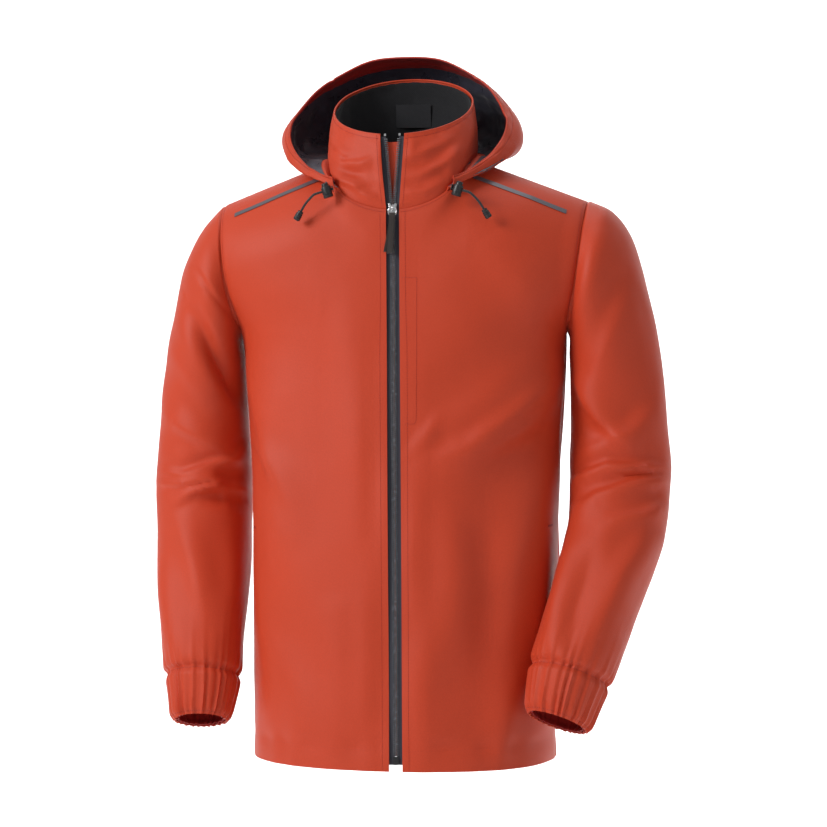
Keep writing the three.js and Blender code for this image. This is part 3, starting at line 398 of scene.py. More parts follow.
def neck_z(x, front):
    share = np.sqrt(np.clip(1 - (x / neck_half) ** 2, 0, 1))
    if front < 0:
        return -neck_side_drop - (front_neck_drop - neck_side_drop) * share
    return -neck_side_drop * (1 - share)


def top_z(u, front, edge, below=0.0):
    z = np.full(np.shape(u), -float(tip_drop))
    for _ in range(30):
        x = np.abs(body_point(u, z, 1, front, edge)[..., 0] - (zip_x(z) if front < 0 else 0))
        line = shoulder_z(x) - below
        z = z * 0.4 + 0.6 * np.where(x < neck_half, np.minimum(neck_z(x, front), line), line)
    return z


def panel(left, front, us, vs):
    """Grid of a body panel from the hem up to the neck and shoulder"""
    edge = zip_visible / 2 if front < 0 else 0.0
    u = np.abs(us)[None, :] * np.ones((len(vs), 1))
    z = -body_length + (top_z(u, front, edge) + body_length) * vs[:, None]
    if front < 0:
        return body_point(u, z, left, front, edge)
    points = body_point(u, z, 1, front, edge)
    points[..., 0] *= np.sign(us)[None, :]
    return points


def outward_of(points, sign=1, closed=False):
    """Unit normals of a grid of points"""
    if closed:
        wrapped = np.concatenate([points[:, -1:], points, points[:, :1]], axis=1)
        across = (wrapped[:, 2:] - wrapped[:, :-2])
    else:
        across = np.gradient(points, axis=1)
    along = np.gradient(points, axis=0)
    n = np.cross(across, along) * sign
    size = np.linalg.norm(n, axis=2, keepdims=True)
    return n / np.maximum(size, 1e-9)


def soft_folds(points, normals, folds, facing=-1):
    """Lifts a fold along each line of (x, z) seen from the front or the back. A fold is its line, how
    wide it is, how high (sunk when negative), and how much sharper it is on its right side."""
    flat = points.reshape(-1, 3)[:, [0, 2]]
    lift = np.zeros(len(flat))
    for line, wide, high, lean in folds:
        line = np.array(line, float)
        steps = np.linalg.norm(np.diff(line, axis=0), axis=1)
        total = steps.sum()
        nearest = np.full(len(flat), 1e9)
        signed = np.zeros(len(flat))
        share = np.zeros(len(flat))
        run = 0.0
        for a, b, step in zip(line[:-1], line[1:], steps):
            along = (b - a) / step
            t = np.clip((flat - a) @ along, 0, step)
            off = flat - (a + t[:, None] * along)
            far = np.linalg.norm(off, axis=1)
            closer = far < nearest
            nearest[closer] = far[closer]
            signed[closer] = (off @ np.array([along[1], -along[0]]))[closer]
            share[closer] = ((run + t) / total)[closer]
            run += step
        width = wide * np.where(signed > 0, 1 - lean, 1 + lean)
        taper = np.sin(np.clip(share, 0.02, 0.98) * math.pi) ** 0.7 * (0.9 + 1.2 * smoothstep(wide, 6, 20))
        lift += high * taper * (np.exp(-(nearest / width) ** 2)
                                - 0.35 * np.exp(-((nearest - 2.1 * width) / (1.3 * width)) ** 2))
    weight = np.clip(normals[..., 1] * facing * 1.8, 0, 1)
    return points + normals * (lift.reshape(points.shape[:2]) * weight)[..., None]


def ripple(points, size, seed):
    """Gentle unevenness of cloth about this size, from -1 to 1"""
    chance = np.random.RandomState(seed)
    total = np.zeros(points.shape[:2])
    waves = 7
    for _ in range(waves):
        direction = chance.normal(size=3)
        direction /= np.linalg.norm(direction)
        wave = size * chance.uniform(0.7, 1.6)
        total += np.sin(points @ direction * 2 * math.pi / wave + chance.uniform(0, 6.28)
                        + 1.2 * np.sin(points @ direction[[1, 2, 0]] * 2 * math.pi / (wave * 1.7)))
    return total / waves


def seam_sink(points, depth=1.3, edges=(True, True, False, False)):
    """How far the cloth dips at its sewn edges: first column, last column, first row, last row"""
    across = np.linalg.norm(np.diff(points, axis=1), axis=2)
    along = np.linalg.norm(np.diff(points, axis=0), axis=2)
    from_first = np.concatenate([np.zeros((len(points), 1)), np.cumsum(across, axis=1)], axis=1)
    from_low = np.concatenate([np.zeros((1, points.shape[1])), np.cumsum(along, axis=0)], axis=0)
    away = [from_first, from_first[:, -1:] - from_first, from_low, from_low[-1:] - from_low]
    sink = np.zeros(points.shape[:2])
    for far, wanted in zip(away, edges):
        if wanted:
            sink = np.maximum(sink, depth * np.exp(-(far / 3.0) ** 2))
    return sink


def to_frame(points):
    return (points - loop_apex) / 1000


def cloth(name, points, look, thick, depth=0.0, normals=None, closed=False, sign=1):
    """A layer of cloth over a grid in mm, sunk by depth below its outer face, with its own thickness"""
    if normals is None:
        normals = outward_of(points, sign, closed)
    sunk = to_frame(points - normals * depth)
    piece = curve_mesh(name, sunk, look, closed_rows=closed)
    first = piece.data.polygons[len(piece.data.polygons) // 2]
    count = points.shape[1]
    i, j = divmod(first.vertices[0], count)
    if first.normal.dot(Vector(normals[i, j])) < 0:
        piece.data.flip_normals()
    pick(piece)
    wall = piece.modifiers.new("wall", "SOLIDIFY")
    wall.thickness = thick / 1000
    wall.offset = -1
    bpy.ops.object.modifier_apply(modifier=wall.name)
    bpy.ops.object.shade_smooth_by_angle(angle=math.radians(60))
    return piece


shell_colour = (0.56, 0.052, 0.016)


def shell_finish(name, colour, roughness=0.5):
    """Coated plain-weave cloth: fine grain, soft colour drift and a little gloss"""
    finish = Finish(name, colour, roughness, Sheen_Weight=0.03, Sheen_Roughness=0.45,
                    Specular_IOR_Level=0.3)
    flat = finish.cut()
    solid = finish.place()
    warp = finish.threads(flat, 0.0011, "X")
    weft = finish.threads(flat, 0.0011, "Y")
    weave = warp * 0.5 + weft * 0.5
    fleck = finish.noise(flat, 0.0022, detail=2.0)
    drift = finish.noise(solid, 0.16, detail=2.0)
    tone = fleck * 0.5 + drift * 0.35 + weave * 0.15
    finish.feed(Base_Color=finish.blend(tone, shade(colour, 0.8), shade(colour, 1.2)),
                Roughness=fleck * 0.16 + (roughness - 0.08))
    finish.raised(weave * 0.6 + fleck * 0.6, 0.00018)
    return finish


shell = shell_finish("red_orange_shell", shell_colour)
# The facing colour is the shell's red darkened as painted shade, for the facings, hem, cuffs and pocket bags
# that lie in shade.
shaded_facing_cloth = shell_finish("shell_facing_painted_shade", (0.42, 0.018, 0.014), 0.55)


def lining_finish(name, colour, roughness, gloss):
    finish = Finish(name, colour, roughness, Specular_IOR_Level=gloss, Sheen_Weight=0.1)
    flat = finish.cut()
    rib = finish.threads(flat, 0.0013, "DIAGONAL")
    fleck = finish.noise(flat, 0.004)
    finish.feed(Base_Color=finish.blend(rib * 0.4 + fleck * 0.6, shade(colour, 0.65), shade(colour, 1.4)),
                Roughness=fleck * 0.2 + (roughness - 0.1))
    finish.raised(rib, 0.00012)
    return finish


lining = lining_finish("charcoal_lining", (0.016, 0.016, 0.019), 0.55, 0.4)
thread_look = Finish("red_thread", (0.36, 0.02, 0.012), 0.55)
thread_look.feed(Base_Color=thread_look.blend(
    thread_look.noise(thread_look.place(), 0.002), (0.22, 0.012, 0.008, 1), (0.5, 0.035, 0.02, 1)))


def stitches(name, paths, look, body, pitch=3.4, long=2.3, thick=0.5):
    """Rows of thread along paths on the cloth, each a list of (point, normal) arrays in mm"""
    corners = []
    for points, normals in paths:
        step = np.concatenate([[0], np.cumsum(np.linalg.norm(np.diff(points, axis=0), axis=1))])
        for start in np.arange(pitch / 2, step[-1] - long, pitch):
            ends = [np.array([np.interp(s, step, points[:, a]) for a in range(3)])
                    for s in (start, start + long)]
            up = np.array([np.interp(start, step, normals[:, a]) for a in range(3)])
            run = ends[1] - ends[0]
            across = np.cross(up, run)
            across *= thick / 2 / max(np.linalg.norm(across), 1e-6)
            tip = 0.14 * run
            middle = up * thick * 0.55
            corners.append([ends[0] - up * 0.3, ends[0] + tip + across, ends[0] + tip - across,
                            ends[0] + tip + middle, ends[1] - tip + across, ends[1] - tip - across,
                            ends[1] - tip + middle, ends[1] - up * 0.3])
    faces = []
    for k in range(len(corners)):
        o = k * 8
        faces += [(o, o + 1, o + 3), (o, o + 3, o + 2), (o, o + 2, o + 1), (o + 1, o + 4, o + 6, o + 3),
                  (o + 3, o + 6, o + 5, o + 2), (o + 2, o + 5, o + 4, o + 1),
                  (o + 7, o + 6, o + 4), (o + 7, o + 5, o + 6), (o + 7, o + 4, o + 5)]
    mesh = bpy.data.meshes.new(name)
    mesh.from_pydata(to_frame(np.array(corners).reshape(-1, 3)).tolist(), [], faces)
    mesh.materials.append(look.material)
    piece = bpy.data.objects.new(name, mesh)
    bpy.context.collection.objects.link(piece)
    outward(piece)
    if body:
        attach(piece, body)
    return piece


def grid_line(points, normals, rows=None, columns=None, row=None, column=None, lift=0.25):
    """A line over a grid at one row or column, which may be fractional"""
    def blend_at(grid, at, axis):
        low = int(np.floor(min(at, grid.shape[axis] - 1.001)))
        share = at - low
        a = np.take(grid, low, axis=axis)
        b = np.take(grid, low + 1, axis=axis)
        return a * (1 - share) + b * share
    if row is not None:
        p, n = blend_at(points, row, 0), blend_at(normals, row, 0)
        p, n = (p[columns], n[columns]) if columns else (p, n)
    else:
        p, n = blend_at(points, column, 1), blend_at(normals, column, 1)
        p, n = (p[rows], n[rows]) if rows else (p, n)
    return p + n * lift, n


edge_steps = np.array([0, 1.5, 3, 5, 7.5, 11])  # mm from a sewn edge, so that its dip has rows of its own
front_us = np.concatenate([edge_steps / 240, np.linspace(0.075, 0.93, 44), 1 - edge_steps[::-1] / 240])
back_us = np.concatenate([-1 + edge_steps / 300, np.linspace(-0.945, 0.945, 92), 1 - edge_steps[::-1] / 300])
rows_up = np.concatenate([[0, 0.0025, 0.006, 0.012, 0.02, 0.028, 0.036, 0.042, 0.048, 0.054, 0.06],
                          0.06 + 0.94 * (1 - (1 - np.linspace(0.006, 0.985, 128)) ** 1.25), [0.9965, 1]])

front_folds = {
    "right": [
        ([(-205, -262), (-170, -330), (-150, -420), (-138, -520)], 26, 3.4, 0.3),
        ([(-200, -300), (-160, -395), (-120, -470)], 12, 2.4, 0.3),
        ([(-200, -372), (-172, -395), (-150, -425)], 9, 3.4, 0.35),
        ([(-190, -420), (-150, -500), (-130, -600)], 30, 2.4, 0.0),
        ([(-60, -180), (-45, -330), (-38, -430)], 26, 2.0, 0.0),
        ([(-150, -620), (-120, -690), (-110, -760)], 24, 2.2, 0.0),
        ([(-70, -560), (-60, -660), (-66, -765)], 30, 2.6, 0.0),
        ([(-192, -520), (-165, -640), (-160, -740)], 18, 2.0, 0.0),
        ([(-26, -330), (-22, -430), (-24, -520)], 10, -1.6, 0.0),
        ([(-30, -560), (-24, -640), (-30, -740)], 14, 1.6, 0.0),
    ],
    "left": [
        ([(208, -262), (170, -300), (110, -345), (60, -372)], 30, 3.6, 0.25),
        ([(206, -290), (150, -345), (95, -388), (48, -402)], 17, 4.4, 0.35),
        ([(200, -330), (150, -372), (112, -392)], 9, 3.0, 0.3),
        ([(60, -345), (44, -372), (24, -392)], 8, 3.0, 0.3),
        ([(204, -380), (176, -450), (150, -540), (148, -640)], 34, 4.6, 0.25),
        ([(196, -470), (184, -560), (176, -680)], 14, 3.0, 0.2),
        ([(120, -470), (128, -560), (116, -690)], 26, -3.4, 0.0),
        ([(70, -440), (84, -540), (80, -640)], 26, 2.2, 0.0),
        ([(50, -600), (42, -690), (46, -770)], 22, 2.4, 0.0),
        ([(150, -660), (140, -720), (138, -775)], 16, 2.6, 0.0),
        ([(110, -130), (160, -180), (190, -240)], 30, 2.2, 0.2),
        ([(34, -420), (30, -520), (34, -600)], 12, 1.8, 0.0),
    ],
}
body_grids = {}
for side, left in (("left", 1), ("right", -1)):
    points = panel(left, -1, front_us, rows_up)
    normals = outward_of(points, -left)
    if normals[60, 20, 1] > 0:
        normals = -normals
    away_from_zip = smoothstep(np.abs(points[..., 0] - zip_x(points[..., 2])), 9, 30)
    puff = ripple(points, 230, 3 + left) * 3.0 + ripple(points, 90, 11 + left) * 0.9
    hem_near = np.exp(-((points[..., 2] + body_length) / 30) ** 2)
    pucker = np.sin(points[..., 0] / 6.5 + 1.5 * np.sin(points[..., 0] / 23)) * 0.9
    at_stitch = np.exp(-((points[..., 2] + body_length - 29) / 9) ** 2)
    free = (1 - smoothstep(rows_up, 0.93, 0.995))[:, None, None]
    for _ in range(40):
        even = (points[:, 6:-8] + points[:, 7:-7] * 2 + points[:, 8:-6]) / 4
        points[:, 7:-7] += (even - points[:, 7:-7]) * free
        near_armpit = np.exp(-((points[1:-1, :, 2:] + armpit_drop) / 45) ** 2)
        even = (points[:-2] + points[1:-1] * 2 + points[2:]) / 4
        points[1:-1] += (even - points[1:-1]) * near_armpit
    settle = 1 - smoothstep(front_us, 0.84, 0.985) * smoothstep(points[..., 2], -300, -235)
    settle = settle * (1 - smoothstep(rows_up, 0.95, 0.995)[:, None])
    lift = (puff * (1 - hem_near) * settle + pucker * (at_stitch + hem_near * 0.5)) * away_from_zip
    lift -= seam_sink(points, edges=(False, True, False, True)) + at_stitch * 1.1 * away_from_zip
    points = points + normals * lift[..., None]
    points = points + (soft_folds(points, normals, front_folds[side]) - points) * settle[..., None]
    normals = outward_of(points, 1)
    if normals[60, 20, 1] > 0:
        normals = -normals
    body_grids[side] = (points, normals)
    front = cloth(f"front_{side}", points, shell, 1.3, normals=normals)
    fitted(front, "shell", "jacket", f"front_panel_{side}", grid=points)
    inside = slice(11, None)
    under = cloth(f"front_lining_{side}", points[inside, 3:], lining, 0.7, depth=2.4,
                  normals=normals[inside, 3:])
    fitted(under, "lining", "jacket", f"lining_front_{side}", grid=points[inside, 3:])

back_folds = [
    ([(0, -150), (-10, -330), (0, -520)], 46, -3.0, 0.0),
    ([(-120, -210), (-100, -380), (-110, -560)], 32, 3.0, 0.2),
    ([(120, -210), (100, -400), (112, -580)], 32, 3.2, -0.2),
    ([(-190, -300), (-130, -420), (-80, -560)], 22, 3.0, 0.3),
    ([(190, -300), (130, -430), (86, -580)], 22, 3.0, -0.3),
    ([(-60, -560), (-50, -680), (-56, -770)], 26, 2.6, 0.0),
    ([(60, -560), (66, -680), (58, -770)], 26, 2.6, 0.0),
    ([(-150, -600), (-140, -700), (-146, -775)], 20, 2.4, 0.0),
    ([(150, -600), (142, -700), (148, -775)], 20, 2.4, 0.0),
]
points = panel(1, 1, back_us, rows_up)
normals = outward_of(points)
if normals[60, 50, 1] < 0:
    normals = -normals
hem_near = np.exp(-((points[..., 2] + body_length) / 30) ** 2)
at_stitch = np.exp(-((points[..., 2] + body_length - 29) / 9) ** 2)
lift = (ripple(points, 260, 8) * 3.4 + ripple(points, 100, 9)) * (1 - hem_near)
lift += np.sin(points[..., 0] / 6.2 + 1.5 * np.sin(points[..., 0] / 27)) * (at_stitch + hem_near * 0.5)
lift -= seam_sink(points, edges=(True, True, False, True)) + at_stitch * 1.1
points = soft_folds(points + normals * lift[..., None], normals, back_folds, facing=1)
normals = outward_of(points)
if normals[60, 50, 1] < 0:
    normals = -normals
body_grids["back"] = (points, normals)
back = cloth("back", points, shell, 1.3, normals=normals)
fitted(back, "shell", "jacket", "back_panel", grid=points)
under = cloth("back_lining", points[11:], lining, 0.7, depth=2.4, normals=normals[11:])
fitted(under, "lining", "jacket", "lining_back", grid=points[11:])

# ---------------------------------------------------------------------------------------------
# Hem. The shell is turned up inside by 45 mm and stitched; a flat elastic lies in the channel.
# ---------------------------------------------------------------------------------------------
elastic_look = lining_finish("black_elastic", (0.018, 0.018, 0.018), 0.7, 0.3)


def hem_layer(name, node, look, low, high, depth, thick):
    for part, (grid, out) in body_grids.items():
        columns = slice(3, -2) if part != "back" else slice(2, -2)
        piece = cloth(f"{name}_{part}", grid[low:high, columns], look, thick, depth=depth,
                      normals=out[low:high, columns])
        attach(piece, "jacket")
        if part == "back":
            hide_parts(node)


hem_layer("hem_facing", "hem_facing", shaded_facing_cloth, 0, 12, 4.2, 0.8)
hem_layer("hem_elastic", "hem_elastic", elastic_look, 2, 7, 2.2, 1.4)

hem_stitch = []
for part, (grid, out) in body_grids.items():
    hem_stitch.append(grid_line(grid, out, row=6.1, lift=-0.2))
stitches("hem_stitching", hem_stitch, thread_look, "jacket")

# ---------------------------------------------------------------------------------------------
# Sleeves. Each is one tube of shell with a lining, cut with a slight bend at the elbow and set
# into the armhole; the end is gathered by elastic in a turned-up cuff.
# ---------------------------------------------------------------------------------------------
# outer and inner are (out from the side of the chest, up from the armpit), then half depth, how
# far the middle lies behind the body's, and how much the front drops
sleeve_sections = {
    "right": [
        ((56, 135), (5, -10), 82, 2, 0), ((80, 90), (5, -30), 80, 5, 0), ((94, 40), (5, -57), 76, 9, 0),
        ((107, -15), (4, -90), 72, 14, 0), ((116, -72), (2, -126), 70, 20, 0),
        ((121, -130), (0, -165), 68, 26, 0), ((126, -197), (0, -207), 67, 29, 0),
        ((123, -266), (1, -266), 63, 20, 0.15), ((114, -353), (1, -348), 58, -6, 0.3),
        ((103, -420), (3, -415), 53, -28, 0.34), ((93, -458), (7, -455), 47, -40, 0.36),
        ((85, -498), (15, -494), 38, -54, 0.36),
    ],
    "left": [
        ((58, 150), (5, -10), 82, 2, 0), ((82, 120), (5, -30), 80, 4, 0), ((96, 80), (5, -55), 76, 6, 0),
        ((108, 30), (5, -85), 72, 8, 0), ((119, -32), (5, -120), 70, 8, 0),
        ((127, -101), (4, -158), 68, 4, 0), ((133, -184), (5, -196), 67, -8, 0.05),
        ((124, -260), (3, -248), 63, -34, 0.2), ((94, -350), (-14, -326), 57, -72, 0.33),
        ((69, -415), (-30, -390), 51, -100, 0.36), ((52, -454), (-36, -429), 45, -113, 0.38),
        ((36, -492), (-39, -470), 37, -125, 0.38),
    ],
}


def curve_through(points, shares):
    """Centripetal curve through points[k], each a row of places, at shares from 0 to 1"""
    points = np.concatenate([[2 * points[0] - points[1]], points, [2 * points[-1] - points[-2]]])
    count = len(points) - 3
    rows = []
    for share in shares:
        k = min(int(share * count), count - 1)
        t = share * count - k
        p0, p1, p2, p3 = points[k:k + 4]
        d0, d1, d2 = (np.maximum(np.linalg.norm(b - a, axis=-1, keepdims=True) ** 0.5, 1e-4)
                      for a, b in ((p0, p1), (p1, p2), (p2, p3)))
        m1 = ((p1 - p0) / d0 - (p2 - p0) / (d0 + d1) + (p2 - p1) / d1) * d1
        m2 = ((p2 - p1) / d1 - (p3 - p1) / (d1 + d2) + (p3 - p2) / d2) * d1
        rows.append(p1 + m1 * t + (-3 * p1 + 3 * p2 - 2 * m1 - m2) * t**2
                    + (2 * p1 - 2 * p2 + m1 + m2) * t**3)
    return np.array(rows)


def sleeve_grid(sections, left, shares, turns):
    middle, half = -(armpit_drop + tip_drop) / 2, (armpit_drop - tip_drop) / 2
    z = middle + half * np.cos(turns)
    x = armhole_x(z)
    head = np.stack([x + 0.6, body_y(x, z, np.where(np.sin(turns) < 0, -1, 1)), z], axis=-1)
    line = [head]
    for outer, inner, depth, behind, tilt in sections:
        wide, deep = np.cos(turns) / 2, depth * np.sin(turns)
        x = chest_half + (outer[0] + inner[0]) / 2 + (outer[0] - inner[0]) * wide
        z = -armpit_drop + (outer[1] + inner[1]) / 2 + (outer[1] - inner[1]) * wide
        line.append(np.stack([x, behind + deep, z - deep * tilt], axis=-1))
    grid = curve_through(np.array(line), shares)
    grid[..., 0] *= left
    return grid


sleeve_folds = {
    "right": [
        ([(-272, -150), (-250, -172), (-216, -222)], 3.4, -1.7, 0.0),
        ([(-272, -205), (-226, -292), (-196, -352)], 13, -6.0, 0.3),
        ([(-252, -190), (-214, -290), (-200, -340)], 11, 3.6, 0.3),
        ([(-300, -250), (-262, -300), (-228, -352)], 20, 3.0, 0.2),
        ([(-300, -352), (-262, -372), (-216, -404)], 15, 4.4, 0.35),
        ([(-312, -418), (-284, -424), (-219, -402), (-188, -366)], 8, 6.0, -0.4),
        ([(-330, -431), (-292, -434), (-246, -428), (-240, -434), (-284, -451)], 6.5, 6.5, 0.3),
        ([(-300, -462), (-268, -444), (-246, -438), (-190, -447)], 7.5, 5.4, 0.35),
        ([(-330, -428), (-300, -429), (-262, -427)], 4.5, -4.0, 0.0),
        ([(-262, -452), (-225, -455), (-196, -470)], 9, -4.0, 0.0),
        ([(-290, -470), (-262, -540), (-238, -620)], 18, 2.6, 0.2),
        ([(-224, -480), (-214, -560), (-222, -640)], 13, 3.0, 0.0),
        ([(-318, -520), (-300, -600), (-284, -660)], 20, 2.4, 0.0),
    ],
    "left": [
        ([(236, -86), (222, -120), (216, -190), (212, -228)], 3.0, -1.0, 0.0),
        ([(250, -110), (240, -200), (228, -300)], 18, 3.0, 0.2),
        ([(300, -170), (262, -260), (232, -350)], 20, 3.4, 0.3),
        ([(214, -290), (250, -350), (300, -395)], 13, 4.6, 0.35),
        ([(330, -330), (290, -370), (222, -398)], 14, 3.6, 0.3),
        ([(204, -442), (226, -424), (262, -410), (345, -412)], 8, 6.4, -0.35),
        ([(345, -424), (300, -430), (250, -444), (212, -470)], 8, 5.6, 0.35),
        ([(345, -452), (305, -470), (262, -474)], 9, 4.4, 0.3),
        ([(262, -424), (300, -420), (342, -420)], 4.5, -4.0, 0.0),
        ([(320, -480), (282, -540), (252, -620)], 17, 3.6, 0.25),
        ([(216, -490), (206, -560), (196, -640)], 14, 3.0, 0.0),
        ([(250, -500), (226, -580), (216, -650)], 12, -3.0, 0.0),
    ],
}
cuff_from = 0.88
sleeve_turns = np.linspace(0, 2 * math.pi, 133)[:-1]
sleeve_shares = np.concatenate([[0, 0.002, 0.005, 0.009], np.linspace(0.014, 0.862, 150),
                                np.linspace(0.868, 1, 34)])
for side, left in (("left", 1), ("right", -1)):
    body = f"sleeve_{side}"
    points = sleeve_grid(sleeve_sections[side], left, sleeve_shares, sleeve_turns)
    normals = outward_of(points, 1, closed=True)
    middle = points.mean(axis=1, keepdims=True)
    normals *= np.sign((normals * (points - middle)).sum(axis=(1, 2), keepdims=True))
    v = sleeve_shares[:, None] * np.ones((1, len(sleeve_turns)))
    head = smoothstep(v, 0.0, 0.09)
    lift = (ripple(points, 170, 21 + left) * 3.2 + ripple(points, 62, 31 + left) * 1.0) * head
    lift *= 1 - smoothstep(v, 0.8, 0.88) * 0.7
    gather = np.sin(sleeve_turns * 27 + 1.3 * np.sin(sleeve_turns * 5 + left))[None, :]
    gather = gather + 0.5 * np.sin(sleeve_turns * 41 + 2)[None, :]
    at_seam = np.exp(-((v - cuff_from) / 0.012) ** 2)
    in_cuff = smoothstep(v, cuff_from, 0.9) * (1 - smoothstep(v, 0.985, 1.0))
    lift += gather * (1.5 * np.exp(-np.maximum(cuff_from - v, 0) / 0.03) * (v <= cuff_from)
                      + (v > cuff_from) * (1.1 + 0.5 * smoothstep(v, 0.93, 1)))
    lift += in_cuff * 2.4 - at_seam * 2.2 - smoothstep(v, 0.975, 1) * 1.6
    lift += smoothstep(v, 0.76, 0.86) * (1 - smoothstep(v, 0.865, cuff_from)) * 2.6
    lift -= 1.2 * np.exp(-(v / 0.004) ** 2)
    points = points + normals * lift[..., None]
    folds_on = soft_folds(points, normals, sleeve_folds[side])
    points = points + (folds_on - points) * (1 - smoothstep(v, 0.82, 0.9))[..., None]
    creases = [([(-x, z - 6) for x, z in line], wide, high * 0.7, lean)
               for line, wide, high, lean in sleeve_folds["left" if side == "right" else "right"]]
    folds_on = soft_folds(points, normals, creases, facing=1)
    points = points + (folds_on - points) * (1 - smoothstep(v, 0.82, 0.9))[..., None]
    fresh = outward_of(points, 1, closed=True)
    fresh *= np.sign((fresh * normals).sum(axis=2, keepdims=True))
    radial = points[0] - points[0].mean(axis=0)
    radial /= np.linalg.norm(radial, axis=1, keepdims=True)
    points[0] = points[1] - radial * 2.6 - [left * 5.5, 0, 0]
    points[1] -= radial * 0.8
    start = Vector(to_frame(np.array([left * 295.8, 5, -120.6])))
    end = Vector(to_frame(np.array([left * 384.6, 5, -187.2])))
    tube = cloth(f"sleeve_{side}_shell", points, shell, 1.3, normals=fresh, closed=True)
    fitted(tube, "shell", ("jacket", body, start, end), f"sleeve_shell_{side}", grid=points)
    upper = sleeve_shares <= cuff_from
    inside = cloth(f"sleeve_{side}_lining", points[upper][2:], lining, 0.7, depth=2.4,
                   normals=fresh[upper][2:], closed=True)
    fitted(inside, "lining", ("jacket", body, start, end), f"sleeve_lining_{side}", grid=points[upper][2:])
    turned = cloth(f"cuff_{side}_facing", points[~upper], shaded_facing_cloth, 0.8, depth=4.2,
                   normals=fresh[~upper], closed=True)
    fitted(turned, "facing", body, f"cuff_facing_{side}", grid=points[~upper])
    band = points[~upper][3:18]
    elastic = cloth(f"cuff_{side}_elastic", band, elastic_look, 1.4, depth=2.2,
                    normals=fresh[~upper][3:18], closed=True)
    fitted(elastic, "elastic", body, f"cuff_elastic_{side}", grid=band)
    ring = int(np.argmin(abs(sleeve_shares - cuff_from))) + 1
    rim = len(sleeve_shares) - 3
    rounds = []
    for row in (ring, rim):
        p, n = grid_line(points, fresh, row=row)
        rounds.append((np.concatenate([p, p[:1]]), np.concatenate([n, n[:1]])))
    stitches(f"cuff_{side}_stitching", rounds, thread_look, body, pitch=3.0)

# ---------------------------------------------------------------------------------------------
# Topstitching of the body: beside the front edges, over the armholes and shoulders, and round
# the inside pocket, all in thread of the shell's colour.
# ---------------------------------------------------------------------------------------------
lines = []
for side in ("left", "right"):
    grid, out = body_grids[side]
    lines.append(grid_line(grid, out, column=3.0))
    lines.append(grid_line(grid, out, column=grid.shape[1] - 4.2, rows=slice(90, -3)))
    lines.append(grid_line(grid, out, row=grid.shape[0] - 3.2, columns=slice(26, -3)))
stitches("front_stitching", lines, thread_look, "jacket")


def on_front(side, x, z):
    """The point of a front at x and z, by the nearest place of its grid"""
    grid, out = body_grids[side]
    far = (grid[..., 0] - x) ** 2 + (grid[..., 2] - z) ** 2
    i, j = np.unravel_index(np.argmin(far), far.shape)
    return np.array([x, grid[i, j, 1] - (x - grid[i, j, 0]) * out[i, j, 0] / out[i, j, 1], z]), out[i, j]


def front_line(side, corners, step=3.0):
    path, normals = [], []
    for (x0, z0), (x1, z1) in zip(corners[:-1], corners[1:]):
        count = max(2, int(math.hypot(x1 - x0, z1 - z0) / step))
        for t in np.linspace(0, 1, count, endpoint=False):
            point, normal = on_front(side, x0 + (x1 - x0) * t, z0 + (z1 - z0) * t)
            path.append(point + normal * 0.3)
            normals.append(normal)
    return np.array(path), np.array(normals)


pocket = front_line("left", [(11, -178), (31, -178), (32, -352), (30, -358), (12, -358)])
tacks = [front_line("left", [(188, -484 - k), (194, -483 - k)], 1.2) for k in (0, 0.8, 1.6)]
tacks += [front_line("right", [(-184, -489 - k), (-190, -488 - k)], 1.2) for k in (0, 0.8, 1.6)]
stitches("pocket_stitching", [pocket], thread_look, "jacket", pitch=2.8, long=1.9)
stitches("bar_tacks", tacks, thread_look, "jacket", pitch=1.6, long=1.4, thick=0.8)

# ---------------------------------------------------------------------------------------------
# Reflective strips. Grey glass-bead film, 5 mm wide, is fused on just under each shoulder seam.
# ---------------------------------------------------------------------------------------------
film = Finish("reflective_film", (0.13, 0.115, 0.125), 0.34, Metallic=0.35, Coat_Weight=0.25,
              Coat_Roughness=0.25)
bead = film.noise(film.cut(), 0.0009, detail=1.0)
film.feed(Base_Color=film.blend(bead, (0.09, 0.08, 0.09, 1), (0.19, 0.175, 0.2, 1)),
          Roughness=bead * 0.2 + 0.25)
film.raised(bead, 0.0001)
for side, left in (("left", 1), ("right", -1)):
    u = np.linspace(0.0, 0.8, 64)[None, :] * np.ones((4, 1))
    low = np.linspace(0, 5, 4)[:, None]
    line = top_z(u, -1, 96.0, 25.0) - 5 + low
    strip = body_point(u, line, left, -1, 96.0)
    normals = outward_of(strip)
    normals *= np.sign((normals * np.array([0, -1, 0.6])).sum(axis=2, keepdims=True))
    puff = ripple(strip, 230, 3 + left) * 3.0 + ripple(strip, 90, 11 + left) * 0.9
    strip = soft_folds(strip + normals * puff[..., None], normals, front_folds[side])
    piece = cloth(f"reflective_{side}", strip + normals * 0.75, film, 0.5, normals=normals)
    fitted(piece, "reflective", "jacket", f"reflective_strip_{side}")

# ---------------------------------------------------------------------------------------------
# Stand collar. A band of shell over a brushed charcoal lining, sewn to the neck; its rim is
# turned over the lining in a narrow edge, and it creases where the zip holds it.
# ---------------------------------------------------------------------------------------------
def neck_seam(turn):
    x = neck_half * np.abs(np.sin(turn))
    front = np.where(np.cos(turn) > 0, -1, 1)
    z = np.where(front < 0, neck_z(x, -1), neck_z(x, 1))
    return np.stack([x * np.sign(np.sin(turn)), body_y(x, z, front), z], axis=-1)


front_neck, back_neck = neck_seam(np.array([0.0, math.pi]))
collar_height = 93


